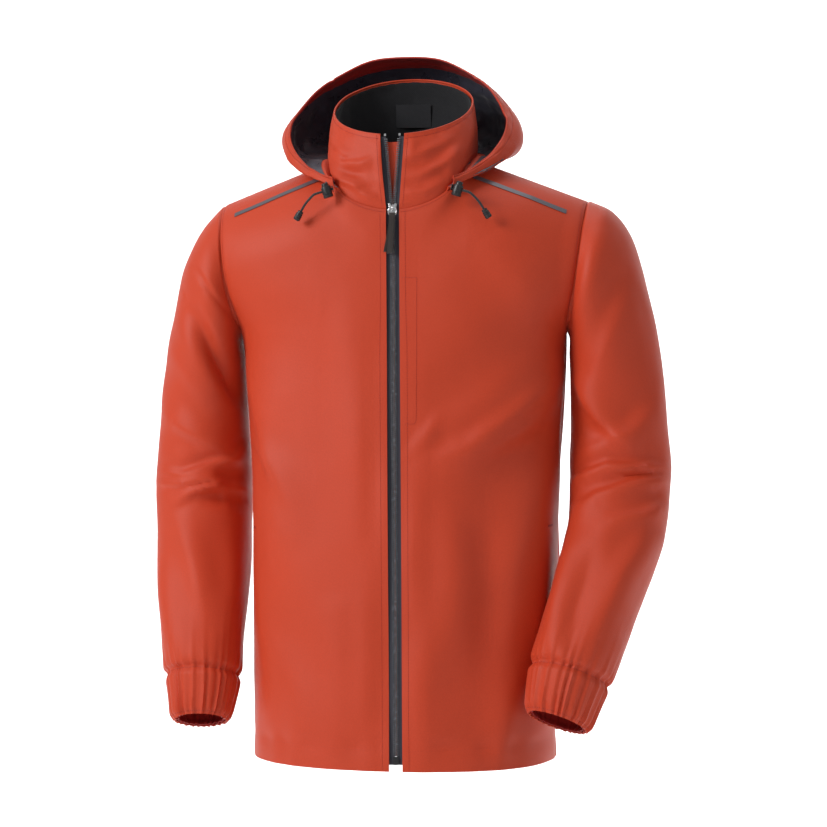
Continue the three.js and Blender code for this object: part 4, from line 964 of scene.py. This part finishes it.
def collar_grid(us, vs):
    middle_y = (front_neck[1] + back_neck[1]) / 2 - 13 / 4
    half_depth = (back_neck[1] - front_neck[1]) / 2 - 13 * 0.75
    rows = []
    for v in vs:
        edge = math.asin((zip_visible / 2 + 7 * v) / neck_half)
        turn = edge * (1 - us) + (2 * math.pi - edge) * us
        base = neck_seam(turn)
        base[:, 2] += 2.5
        rise = (back_neck[2] - front_neck[2]) / 2
        rim = np.stack([89 * np.sin(turn), middle_y - half_depth * np.cos(turn),
                        (back_neck[2] + front_neck[2]) / 2 + collar_height - rise * np.cos(turn)], axis=-1)
        point = base * (1 - v) + rim * v
        bow = 3 * math.sin(v * math.pi)
        sway = zip_x(point[:, 2]) * np.maximum(0, np.cos(turn)) ** 2
        rows.append(point + np.stack([bow * np.sin(turn) + sway, -bow * np.cos(turn), 0 * turn], axis=-1))
    return np.array(rows)


collar_us = np.concatenate([edge_steps / 640, np.linspace(0.022, 0.978, 200), 1 - edge_steps[::-1] / 640])
collar_vs = np.concatenate([[0, 0.015, 0.035, 0.06], np.linspace(0.09, 0.94, 34), [0.965, 0.985, 1]])
collar_folds = [
    ([(-84, -2), (-64, -22), (-52, -26)], 5, 2.6, 0.3),
    ([(-78, -16), (-66, -33), (-42, -35), (-24, -28)], 5.5, 3.4, -0.35),
    ([(-86, -40), (-64, -56), (-46, -64), (-30, -60)], 6, 3.2, 0.35),
    ([(-52, -60), (-44, -70), (-30, -78), (-16, -80)], 4.5, 2.4, 0.3),
    ([(-70, -36), (-56, -46), (-34, -48)], 6, -2.4, 0.0),
    ([(-20, -8), (-16, -40), (-14, -70)], 5, 1.6, 0.0),
    ([(12, -30), (34, -24), (58, -12), (74, 2)], 6, 3.0, 0.35),
    ([(10, -54), (34, -52), (58, -38), (80, -18)], 7, 3.2, 0.35),
    ([(14, -74), (40, -72), (66, -58)], 5.5, 2.6, 0.3),
    ([(16, -40), (40, -38), (64, -26)], 5.5, -2.6, 0.0),
    ([(80, -10), (70, -36), (66, -54)], 7, 2.4, 0.0),
    ([(26, -4), (22, -24)], 5, 1.6, 0.0),
]
collar = collar_grid(collar_us, collar_vs)
normals = outward_of(collar)
around = np.array([[0, (front_neck[1] + back_neck[1]) / 2, 0]])
normals *= np.sign((normals * (collar - around) * [1, 1, 0]).sum(axis=2, keepdims=True))
up = collar_vs[:, None] * np.ones((1, len(collar_us)))
soft = smoothstep(up, 0.02, 0.2) * (1 - 0.6 * smoothstep(up, 0.85, 1))
lift = (ripple(collar, 60, 41) * 1.5 + ripple(collar, 26, 42) * 0.6) * soft
rim_pucker = np.sin(collar[..., 0] / 3.1 + collar[..., 1] / 3.4) * 0.35 * np.exp(-((up - 0.93) / 0.03) ** 2)
lift += rim_pucker - 0.5 * np.exp(-((up - 0.93) / 0.018) ** 2) - 1.4 * np.exp(-(up / 0.03) ** 2)
collar = soft_folds(collar + normals * lift[..., None], normals, collar_folds)
fresh = outward_of(collar)
fresh *= np.sign((fresh * normals).sum(axis=2, keepdims=True))
allowance = collar[:1] - fresh[:1] * [2.2, 2.2, 0] - [0, 0, 6.5]
outer = cloth("collar_shell", np.concatenate([allowance, collar]), shell, 1.3,
              normals=np.concatenate([fresh[:1], fresh]))
fitted(outer, "shell", "jacket", "collar_outer", grid=collar)

brushed = lining_finish("brushed_collar_lining", (0.02, 0.02, 0.022), 0.85, 0.15)
inner_part = (slice(None, -2), slice(9, -9))
lining_lift = ripple(collar, 50, 47)[inner_part] * 1.2 + 1.2
inner = cloth("collar_inside", collar[inner_part] - fresh[inner_part] * lining_lift[..., None], brushed, 0.8,
              depth=2.0, normals=fresh[inner_part])
fitted(inner, "collar_lining", "jacket", "collar_lining", grid=collar[inner_part])

rim_path = to_frame(collar[-1] - fresh[-1] * 1.0 + [0, 0, -0.2])
rim = round_tube("collar_rim", rim_path, 0.00125, shell, around=10)
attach(rim, "jacket")
rows = [grid_line(collar, fresh, row=len(collar_vs) - 4.0), grid_line(collar, fresh, column=3.2),
        grid_line(collar, fresh, column=len(collar_us) - 4.2)]
stitches("collar_stitching", rows, thread_look, "jacket", pitch=3.0)
neck_rows = []
for side in ("left", "right"):
    grid, out = body_grids[side]
    neck_rows.append(grid_line(grid, out, row=grid.shape[0] - 3.2, columns=slice(0, 26)))
stitches("neck_stitching", neck_rows, thread_look, "jacket", pitch=3.0)

# ---------------------------------------------------------------------------------------------
# Hang loop and blank label, sewn into the back of the neck.
# ---------------------------------------------------------------------------------------------
tape_look = lining_finish("navy_tape", (0.034, 0.034, 0.046), 0.7, 0.3)
arc = np.linspace(0, math.pi, 34)
band_width = 4.0
rows = []
for share in np.linspace(0, 1, 5):
    wide, high = 22 - band_width * share, 12 - band_width * share
    rows.append(np.stack([-wide * np.cos(arc), np.full_like(arc, loop_apex[1] - 0.6),
                          back_neck[2] + high * np.sin(arc)], axis=-1))
loop_grid = np.array(rows)
loop_normals = np.zeros_like(loop_grid)
loop_normals[..., 1] = -1
loop = cloth("hanging_loop", loop_grid, tape_look, 1.2, normals=loop_normals)
fitted(loop, "collar_lining", "jacket", "hang_loop")

label_look = lining_finish("woven_label", (0.023, 0.023, 0.026), 0.75, 0.2)
label_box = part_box("neck_label")
low, high = np.array(label_box[0]) * 1000 + loop_apex, np.array(label_box[1]) * 1000 + loop_apex
across, rise = np.meshgrid(np.linspace(low[0], high[0], 24), np.linspace(0, 1, 16))
label_grid = np.stack([across, high[1] * (1 - rise) + low[1] * rise + 0.5 * np.sin(across / 9),
                       low[2] * (1 - rise) + high[2] * rise], axis=-1)
label = cloth("label", label_grid, label_look, 0.5, normals=outward_of(label_grid))
fitted(label, "label", "jacket", "neck_label")

# ---------------------------------------------------------------------------------------------
# Main zip. Moulded teeth on two woven tapes, closed below the slider and standing open in a V
# above it; a retainer box and pin at the hem, small stops at the top, a flap of shell behind.
# ---------------------------------------------------------------------------------------------
def zip_point(z):
    return np.array([zip_x(z), -front_depth(z) + 3.2, z])


post = zip_point(-89.0)
zip_low = zip_point(-772.0)
zip_high = zip_point(-2.0)
zip_down, zip_up = np.linalg.norm(post - zip_low), np.linalg.norm(post - zip_high)
zip_run = Vector((zip_high - zip_low) / np.linalg.norm(zip_high - zip_low))
zip_turn = Vector((0, 0, 1)).rotation_difference(zip_run).to_matrix().to_4x4()
on_zip = Matrix.Translation(Vector(to_frame(post))) @ zip_turn
v_lean = 7 / zip_up


def settled(piece, matrix):
    """Puts the finished mesh at its place, with the object itself left at the origin"""
    piece.data.transform(matrix @ piece.matrix_world)
    piece.matrix_world = Matrix.Identity(4)
    return piece


def laid_on_zip(rows):
    """Rows of points in mm from the slider's post, brought to their place, with normals to the front"""
    grid = np.array(rows) @ np.array(on_zip)[:3, :3].T + post
    normals = outward_of(grid)
    return grid, normals * np.sign(-normals[..., 1:2])


def apply_all(piece):
    pick(piece)
    for modifier in list(piece.modifiers):
        bpy.ops.object.modifier_apply(modifier=modifier.name)


tooth_look = Finish("zip_teeth", (0.13, 0.13, 0.14), 0.24, Metallic=0.45, Coat_Weight=0.3,
                    Coat_Roughness=0.15)
# The teeth's colour turns light grey in patches: painted glints on the dark teeth. The same patches also vary
# the roughness.
glint_mottle = tooth_look.noise(tooth_look.place(), 0.003)
tooth_look.feed(Roughness=glint_mottle * 0.25 + 0.12,
                Base_Color=tooth_look.blend(glint_mottle, (0.05, 0.05, 0.056, 1), (0.3, 0.3, 0.32, 1)))
tooth_pitch = 0.00262
tooth_size = (0.0043, 0.0024, 0.0012)
tooth_middle = 0.00138  # from the zip's middle line
first_tooth, first_open_tooth = -zip_down / 1000 + 0.0118, 0.0026
for side, left in (("left", 1), ("right", -1)):
    rows = []
    for start, lean in ((first_tooth, 0.0), (first_open_tooth, v_lean)):
        length = -0.001 - start if lean == 0 else zip_up / 1000 - 0.003
        if lean == 0 and left < 0:
            start += tooth_pitch / 2
        bpy.ops.mesh.primitive_cube_add(size=1, location=(0, 0, 0))
        tooth = bpy.context.object
        tooth.scale = tooth_size
        bpy.ops.object.transform_apply(location=False, rotation=False, scale=True)
        bpy.ops.object.mode_set(mode="EDIT")
        bpy.ops.mesh.select_all(action="DESELECT")
        bpy.ops.object.mode_set(mode="OBJECT")
        for face in tooth.data.polygons:
            face.select = face.normal.x * left < -0.9
        bpy.ops.object.mode_set(mode="EDIT")
        bpy.ops.mesh.select_mode(type="FACE")
        bpy.ops.transform.resize(value=(1, 0.8, 0.9))
        bpy.ops.object.mode_set(mode="OBJECT")
        soften = tooth.modifiers.new("soften", "BEVEL")
        soften.width = 0.00028
        soften.segments = 1
        many = tooth.modifiers.new("many", "ARRAY")
        many.use_relative_offset = False
        many.use_constant_offset = True
        many.constant_offset_displace = (left * lean * tooth_pitch, 0, tooth_pitch)
        many.count = max(1, int(length / tooth_pitch))
        apply_all(tooth)
        tooth.data.transform(Matrix.Translation((left * (tooth_middle + lean * 0.003), 0, start)))
        rows.append(tooth)
    pick(rows[0])
    rows[1].select_set(True)
    bpy.ops.object.join()
    teeth = bpy.context.object
    teeth.name = f"zip_teeth_{side}"
    teeth.data.materials.clear()
    teeth.data.materials.append(tooth_look.material)
    settled(teeth, on_zip)
    fitted(teeth, "teeth", "jacket", f"zip_chain_{side}")

twill = Finish("navy_zip_tape", (0.03, 0.03, 0.044), 0.75, Sheen_Weight=0.15, Sheen_Roughness=0.5)
ribs = twill.threads(twill.cut(), 0.0012, "DIAGONAL")
twill.feed(Base_Color=twill.blend(ribs, (0.02, 0.02, 0.03, 1), (0.05, 0.05, 0.07, 1)))
twill.raised(ribs, 0.0002)
for side, left in (("left", 1), ("right", -1)):
    heights = np.concatenate([np.linspace(-zip_down, 0, 160), np.linspace(2, zip_up, 24)])
    rows = []
    for height in heights:
        lean = 7 * max(0, height) / zip_up
        wide = np.linspace(1.4, 11.2 - 3.5 * max(0, height) / zip_up, 9) + lean
        forward = np.full(9, 0.5 + 0.15 * np.sin(height / 31))
        rows.append(np.stack([left * wide, forward, np.full(9, height)], axis=-1))
    tape, normals = laid_on_zip(rows)
    ribbon = cloth(f"zip_tape_{side}_woven", tape, twill, 0.5, normals=normals)
    fitted(ribbon, "tape", "jacket", f"zip_tape_{side}")

heights = np.linspace(-zip_down + 10, zip_up - 6, 170)
rows = []
for height in heights:
    behind = 5.5 + 0.4 * np.sin(height / 13 + np.linspace(0, 3, 13))
    rows.append(np.stack([np.linspace(-17, 17, 13), behind, np.full(13, height)], axis=-1))
flap_grid, normals = laid_on_zip(rows)
flap = cloth("zip_flap", flap_grid, shell, 1.3, normals=normals)
fitted(flap, "shell", "jacket", "storm_flap", grid=flap_grid)

silver = Finish("polished_zip_metal", (0.78, 0.78, 0.8), 0.16, Metallic=1.0)
rub = silver.noise(silver.place(), 0.004)
silver.feed(Roughness=rub * 0.2 + 0.1, Base_Color=silver.blend(rub, (0.6, 0.6, 0.62, 1), (0.9, 0.9, 0.91, 1)))
dark_plastic = Finish("black_moulding", (0.012, 0.012, 0.013), 0.34, Specular_IOR_Level=0.5)
pits = dark_plastic.noise(dark_plastic.place(), 0.0012)
dark_plastic.feed(Roughness=pits * 0.25 + 0.25,
                  Base_Color=dark_plastic.blend(pits, (0.008, 0.008, 0.009, 1), (0.02, 0.02, 0.022, 1)))
dark_plastic.raised(pits, 0.00006)
for look, nodes in (
    (silver, ("zip_top_stop_left", "zip_top_stop_right", "zip_insertion_pin", "inner_pocket_slider",
              "cord_lock_spring_left", "cord_lock_spring_right")),
    (dark_plastic, ("zip_retainer_box", "hood_eyelet_left", "hood_eyelet_right")),
):
    for node in nodes:
        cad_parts[node].material_slots[0].material = look.material

# ---------------------------------------------------------------------------------------------
# Zip slider. Two silver plates joined by a post that parts the rows of teeth; a bail on the front
# plate holds a wire link.
# ---------------------------------------------------------------------------------------------
def cut_plate(name, outline, thick, at, look, bevel=0.3):
    """A plate with an outline of (across, up) in mm, its middle at this depth, with soft edges"""
    mesh = bpy.data.meshes.new(name)
    count = len(outline)
    mesh.from_pydata([(x / 1000, (at - thick / 2) / 1000, z / 1000) for x, z in outline], [], [range(count)])
    plate = bpy.data.objects.new(name, mesh)
    bpy.context.collection.objects.link(plate)
    pick(plate)
    bpy.ops.object.mode_set(mode="EDIT")
    bpy.ops.mesh.select_all(action="SELECT")
    bpy.ops.mesh.extrude_region_move(TRANSFORM_OT_translate={"value": (0, thick / 1000, 0)})
    bpy.ops.mesh.select_all(action="SELECT")
    bpy.ops.mesh.normals_make_consistent(inside=False)
    bpy.ops.object.mode_set(mode="OBJECT")
    soften = plate.modifiers.new("soften", "BEVEL")
    soften.width = bevel / 1000
    soften.segments = 3
    soften.limit_method = "ANGLE"
    soften.angle_limit = math.radians(50)
    apply_all(plate)
    plate.data.materials.append(look.material)
    bpy.ops.object.shade_smooth_by_angle(angle=math.radians(40))
    return plate


def joined(name, parts):
    pick(parts[0])
    for part in parts[1:]:
        part.select_set(True)
    bpy.ops.object.join()
    whole = bpy.context.object
    whole.name = name
    return whole


crown = [(-4.1, -8.5), (4.1, -8.5), (4.4, -5.5), (4.6, -1.9), (5.25, 1.6), (4.9, 3.2), (3.9, 3.5), (2.6, 3.2),
         (1.5, 1.2), (0.6, 0.2), (-0.6, 0.2), (-1.5, 1.2), (-2.6, 3.2), (-3.9, 3.5), (-4.9, 3.2),
         (-5.25, 1.6), (-4.6, -1.9), (-4.4, -5.5)]
plate_gap, plate_thick = 3.1, 0.9
face_y = (plate_gap + plate_thick) / 2
bail_y = -(plate_gap / 2 + plate_thick + 1.3 + 0.5)
arch = [(0, -face_y / 1000, -0.0056)]
for angle in np.linspace(0, math.pi, 17):
    arch.append((0, (bail_y + 0.3 - 1.55 * math.sin(angle)) / 1000, (-3 - 2.6 * math.cos(angle)) / 1000))
arch.append((0, -face_y / 1000, -0.0004))
bail_path, _ = smooth_path(arch, 26)
post_outline = [(-0.5, -3), (0.5, -3), (0.5, 2.6), (-0.5, 2.6)]
rib_outline = [(-1.6, -7.6), (1.6, -7.6), (1.2, -5.6), (-1.2, -5.6)]
parts = [cut_plate("slider_back", crown, plate_thick, face_y, silver),
         cut_plate("slider_front", crown, plate_thick, -face_y, silver),
         cut_plate("slider_post", post_outline, 4.0, 0, silver, 0.1),
         round_tube("slider_bail", bail_path, 0.0008, silver),
         cut_plate("slider_rib", rib_outline, 0.5, -face_y - 0.5, silver, 0.2)]
slider = settled(joined("zip_slider_body", parts), on_zip)
fitted(slider, "silver", "slider", "zip_slider")

link_points = [(-4.0, 0.6), (-2.6, 1.15), (2.6, 1.15), (4.0, 0.6), (4.9, -1.2), (5.1, -4), (4.4, -6.4),
               (3.2, -7.5), (-3.2, -7.5), (-4.4, -6.4), (-5.1, -4), (-4.9, -1.2)]
ring = [(x / 1000, bail_y / 1000, (z - 3.6) / 1000) for x, z in link_points + link_points[:1]]
link_path, _ = smooth_path(ring, 60)
link = settled(round_tube("puller_wire_link", link_path, 0.00075, silver), on_zip)
fitted(link, "silver", "puller", "zip_puller_link")

strap_look = Finish("ribbed_strap", (0.028, 0.021, 0.019), 0.8, Sheen_Weight=0.2, Sheen_Roughness=0.5)
cord_rib = strap_look.threads(strap_look.cut(), 0.0013, "Y")
strap_look.feed(Base_Color=strap_look.blend(cord_rib, (0.01, 0.006, 0.005, 1), (0.034, 0.022, 0.018, 1)))
strap_look.raised(cord_rib, 0.0004)
fold_z = -10.5  # where the strap goes through the link
tails = []
for sway, out, far, twist in ((-6.8, -1.4, 51.0, 0.35), (-2.6, -3.0, 53.0, -0.2)):
    rows = []
    for share in np.linspace(0, 1, 40):
        angle = min(1, share / 0.12) * math.pi / 2
        z = fold_z + 1.8 * math.cos(angle) - max(0, share - 0.12) / 0.88 * (far - 4)
        bulge = math.sin(share * math.pi) * 0.8
        y = bail_y + out * (0.35 + 0.65 * min(1, share / 0.2)) - bulge * 0.5 - 0.6 * share
        centre = sway * share**1.4 + 0.4 * math.sin(share * 5)
        half = 3.9 * (1 - 0.12 * math.sin(share * math.pi))
        turn = twist * share
        across = np.linspace(-half, half, 9)
        crown_up = -0.35 * (1 - (across / half) ** 2)
        rows.append(np.stack([centre + across * math.cos(turn), y + across * math.sin(turn) + crown_up,
                              np.full(9, z)], axis=-1))
    strap_grid, normals = laid_on_zip(rows)
    tails.append(cloth(f"strap_{len(tails)}", strap_grid, strap_look, 1.1, normals=normals))
strap = joined("puller_strap", tails)
fitted(strap, "puller", "puller", "zip_puller_tape")

# ---------------------------------------------------------------------------------------------
# Pockets. Two hand pocket bags hang inside the fronts; a zipped inside pocket lies beside the
# main zip on the wearer's left.
# ---------------------------------------------------------------------------------------------
def front_patch(left, x0, x1, low, high, sunk, columns=26, rows=40):
    x, z = np.meshgrid(np.linspace(x0, x1, columns), np.linspace(low, high, rows))
    patch = np.stack([left * x + zip_x(z), body_y(x, z, -1), z], axis=-1)
    normals = outward_of(patch)
    normals *= np.sign(-normals[..., 1:2])
    soft = ripple(patch, 55, 61) * 0.8
    return patch - normals * (sunk + soft[..., None]), normals


for name, node, left, x0, x1, low, high, look, slot_name in (
    ("hand_pocket_left", "hand_pocket_bag_left", 1, 40, 138, -707, -487, shaded_facing_cloth, "facing"),
    ("hand_pocket_right", "hand_pocket_bag_right", -1, 40, 138, -707, -487, shaded_facing_cloth, "facing"),
    ("inside_pocket", "inner_pocket_bag", 1, 45, 145, -360, -175, lining, "lining"),
    ("inside_pocket_zip", "inner_pocket_zip", 1, 27, 41, -360, -175, twill, "tape"),
):
    patch, normals = front_patch(left, x0, x1, low, high, 14.0)
    bag = cloth(name, patch, look, 1.4, normals=normals)
    fitted(bag, slot_name, "jacket", node, grid=patch)

# ---------------------------------------------------------------------------------------------
# Hood. Three shell panels with a wide facing round the opening and a satin lining, sewn to the
# neck seam outside the collar; it is open and lies back, and its brim hangs in a soft curve.
# ---------------------------------------------------------------------------------------------
corner_turn = math.pi / 4
corner = neck_seam(np.array([corner_turn]))[0]


def at_corner(out, up):
    return (corner[0] + out, corner[1] - out, corner[2] + up)


def mirrored(half):
    half = np.array(half, float)
    other = half[1:][::-1] * [-1, 1, 1]
    return np.concatenate([other, half])


brim_line = mirrored([(0, 72, 123), (45, 70, 119), (82, 60, 101), (112, 42, 78), (133, 15, 45),
                      (139, -12, 22), (130, -42, -8), (108, -70, -36), at_corner(8, 18)])
upper_line = mirrored([(0, 176, 128), (98, 150, 100), (161, 40, 36), (152, -40, -18), at_corner(8, 8)])
lower_line = mirrored([(0, 196, -45), (122, 150, -34), (170, 22, -36), (142, -50, -40), at_corner(8, 4)])


def hood_grid(across, down):
    share = (across + 1) / 2
    turn = math.pi + (corner_turn - math.pi) * np.abs(across)
    seam = neck_seam(turn) + np.stack([np.sin(turn), -np.cos(turn), 0 * turn], axis=-1) * 3.5
    seam[:, 0] *= np.where(across < 0, -1, 1)
    seam[:, 2] += 3
    ends = [curve_through(line[:, None, :], share)[:, 0] for line in (brim_line, upper_line, lower_line)]
    t = down[:, None, None]
    grid = ((1 - t) ** 3 * ends[0] + 3 * (1 - t) ** 2 * t * ends[1]
            + 3 * (1 - t) * t**2 * ends[2] + t**3 * seam)
    grid[..., 0] += -10 * (1 - down[:, None]) * (1 - across**4)
    return grid


hood_across = np.linspace(-0.985, 0.985, 230)
hood_down = np.concatenate([[0, 0.004, 0.009], np.linspace(0.016, 0.97, 84), [0.985, 1]])
hood_folds = [
    ([(-150, 20), (-140, -20), (-120, -44)], 11, 3.0, 0.2),
    ([(-146, 40), (-126, -10), (-100, -40)], 8, 2.6, 0.3),
    ([(-132, -20), (-116, -44), (-94, -58)], 7, 2.8, 0.3),
    ([(-112, -30), (-98, -50), (-82, -62)], 5, 2.4, 0.3),
    ([(134, 26), (126, -6), (110, -30)], 10, 2.6, -0.2),
    ([(138, 0), (120, -26), (88, -44)], 8, 3.6, -0.3),
    ([(128, -26), (104, -38), (76, -50)], 6, 3.0, -0.3),
    ([(112, -36), (90, -50), (72, -60)], 5, 2.4, 0.3),
    ([(136, 44), (131, 30), (130, 18)], 4, 2.0, 0.0),
]
hood = hood_grid(hood_across, hood_down)
normals = outward_of(hood)
core = np.array([[-6, 40, 10]])
normals *= np.sign((normals * (hood - core)).sum(axis=(1, 2), keepdims=True).mean())
down = hood_down[:, None] * np.ones((1, len(hood_across)))
across = np.abs(hood_across)[None, :] * np.ones((len(hood_down), 1))
soft = smoothstep(down, 0.03, 0.25)
lift = (ripple(hood, 120, 51) * 3.0 + ripple(hood, 46, 52) * 1.2) * soft
lift += np.sin(across * 60 + hood_across[None, :] * 9) * 0.5 * np.exp(-((down - 0.1) / 0.03) ** 2)
lift -= 0.8 * np.exp(-((down - 0.105) / 0.012) ** 2) + 1.2 * np.exp(-((across - 0.3) / 0.008) ** 2)
hood = soft_folds(hood + normals * lift[..., None], normals, hood_folds)
fresh = outward_of(hood)
fresh *= np.sign((fresh * normals).sum(axis=2, keepdims=True))
hood[-1] += [0, 0, -6] - (hood[-1] - [0, 5, 0]) * [0.045, 0.045, 0]
hood_low, hood_high = Vector((0, 0, 0.0)), Vector((0, 0, 0.085))
outer = cloth("hood_shell", hood, shell, 1.3, normals=fresh)
hood_lift = ("jacket", "hood", hood_low, hood_high)
fitted(outer, "shell", hood_lift, "hood_crown", "hood_side_left", "hood_side_right", "hood_neck_band",
       grid=hood)

facing_rows = hood_down < 0.15
facing_grid = hood[facing_rows]
facing_out = fresh[facing_rows]
crumple = (ripple(facing_grid, 34, 55) * 1.6 + ripple(facing_grid, 15, 56) * 0.5) * smoothstep(
    hood_down[facing_rows], 0.02, 0.08)[:, None]
turned = cloth("hood_facing", facing_grid - facing_out * (1.2 + np.abs(crumple))[..., None], shaded_facing_cloth,
               0.8, depth=0.9, normals=facing_out)
fitted(turned, "facing", hood_lift, "hood_brim_facing", grid=facing_grid)

satin = Finish("black_satin", (0.032, 0.032, 0.046), 0.3, Specular_IOR_Level=0.7, Sheen_Weight=0.25,
               Sheen_Roughness=0.35)
# The satin's colour is lightened overall and turns lighter and bluer in patches: painted sheen. The same
# noise also varies its roughness.
gloss = satin.noise(satin.cut(), 0.02)
satin.feed(Base_Color=satin.blend(gloss, (0.02, 0.02, 0.03, 1), (0.06, 0.06, 0.085, 1)),
           Roughness=gloss * 0.25 + 0.18)
satin.raised(satin.threads(satin.cut(), 0.0012, "Y"), 0.00008)
inside_rows = (hood_down > 0.13) & (hood_down < 0.965)
inside_grid = hood[inside_rows]
inside_out = fresh[inside_rows]
held = smoothstep(hood_down[inside_rows], 0.13, 0.24) * (1 - smoothstep(hood_down[inside_rows], 0.88, 0.965))
held = held[:, None] * (1 - smoothstep(np.abs(hood_across), 0.56, 0.74))
slack = (ripple(inside_grid, 70, 57) * 5 + ripple(inside_grid, 28, 58) * 2.2 + 6) * held
fall = inside_grid - inside_out * np.abs(slack)[..., None]
lined = cloth("hood_satin", fall, satin, 0.5, depth=1.5, normals=inside_out)
fitted(lined, "satin_lining", hood_lift, "hood_lining", grid=fall)

rows = [grid_line(hood, fresh, row=int(np.argmin(abs(hood_down - 0.105)))),
        grid_line(hood, fresh, row=4)]
for share in (-0.312, -0.288, 0.288, 0.312):
    rows.append(grid_line(hood, fresh, column=int(np.argmin(abs(hood_across - share)))))
sewn = stitches("hood_stitching", rows, thread_look, None, pitch=3.4)
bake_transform(sewn)

# ---------------------------------------------------------------------------------------------
# Toggles and cord ends. A black barrel with a sprung button grips the drawcord through a cross
# hole; each tail ends in a ribbed moulded cap.
# ---------------------------------------------------------------------------------------------
def turned_piece(name, profile, look, steps=28):
    """A round piece spun from its half profile of (radius, height) in mm"""
    mesh = bpy.data.meshes.new(name)
    points = [(r / 1000, 0, z / 1000) for r, z in profile]
    mesh.from_pydata(points, [(i, i + 1) for i in range(len(points) - 1)], [])
    piece = bpy.data.objects.new(name, mesh)
    bpy.context.collection.objects.link(piece)
    pick(piece)
    bpy.ops.object.mode_set(mode="EDIT")
    bpy.ops.mesh.select_all(action="SELECT")
    bpy.ops.mesh.spin(steps=steps, angle=2 * math.pi, center=(0, 0, 0), axis=(0, 0, 1))
    bpy.ops.mesh.select_all(action="SELECT")
    bpy.ops.mesh.remove_doubles(threshold=2e-6)
    bpy.ops.mesh.normals_make_consistent(inside=False)
    bpy.ops.object.mode_set(mode="OBJECT")
    piece.data.materials.append(look.material)
    bpy.ops.object.shade_smooth_by_angle(angle=math.radians(35))
    return piece


def bored(piece, radius, height):
    bpy.ops.mesh.primitive_cylinder_add(vertices=24, radius=radius / 1000, depth=0.03,
                                        location=(0, 0, height / 1000), rotation=(0, math.pi / 2, 0))
    drill = bpy.context.object
    hole = piece.modifiers.new("hole", "BOOLEAN")
    hole.object = drill
    hole.solver = "EXACT"
    pick(piece)
    bpy.ops.object.modifier_apply(modifier=hole.name)
    bpy.data.objects.remove(drill)
    return piece


barrel_profile = [(0, 0), (5.3, 0), (5.9, 0.3), (6.2, 0.9), (6.2, 3.2), (5.75, 3.6), (5.75, 4.4), (6.2, 4.8),
                  (6.2, 12.9), (5.9, 13.7), (5.4, 14), (4.95, 13.9), (4.7, 13.5), (4.7, 1.6), (0, 1.6)]
button_profile = [(0, 5.7), (4.3, 5.7), (4.3, 16.6), (4.0, 17.6), (3.2, 18.3), (1.8, 18.6), (0, 18.4)]
cap_profile = [(0, 0), (2.2, 0), (3.4, 0.4), (3.7, 1.4), (3.5, 3.4), (4.2, 4.0), (4.4, 5.0), (4.0, 5.5),
               (4.0, 6.2), (4.4, 6.7), (4.4, 7.6), (4.0, 8.1), (4.0, 8.8), (4.4, 9.3),
               (4.3, 11.6), (3.6, 12.7), (0, 13)]
for side, left in (("left", 1), ("right", -1)):
    mirror = np.array([left, 1, 1])
    run = Vector(cord_run * mirror)
    up = (Vector((0, 0, 1)) - run * run.z).normalized()
    depth = up.cross(run)
    centre = Vector(cord_leave * mirror) + run * 0.0087 - up * 0.009
    standing = Matrix((run, depth, up)).transposed().to_4x4()
    standing.translation = centre
    barrel = bored(turned_piece(f"toggle_barrel_{side}", barrel_profile, dark_plastic), 2.1, 9)
    settled(barrel, standing)
    fitted(barrel, "black_plastic", f"lock_{side}", f"cord_lock_barrel_{side}")
    button = bored(turned_piece(f"toggle_button_{side}", button_profile, dark_plastic), 3.2, 10.2)
    settled(button, standing)
    fitted(button, "black_plastic", f"button_{side}", f"cord_lock_button_{side}")

    tail, route, length = cord_tails[side]
    heading = Vector(route[-1] - route[-2]).normalized()
    hanging = Vector((0, 0, 1)).rotation_difference(heading).to_matrix().to_4x4()
    hanging.translation = Vector(route[-1]) - heading * 0.0006
    cap = settled(turned_piece(f"cord_cap_{side}", cap_profile, dark_plastic), hanging)
    fitted(cap, "black_plastic", "jacket", f"drawcord_end_{side}")

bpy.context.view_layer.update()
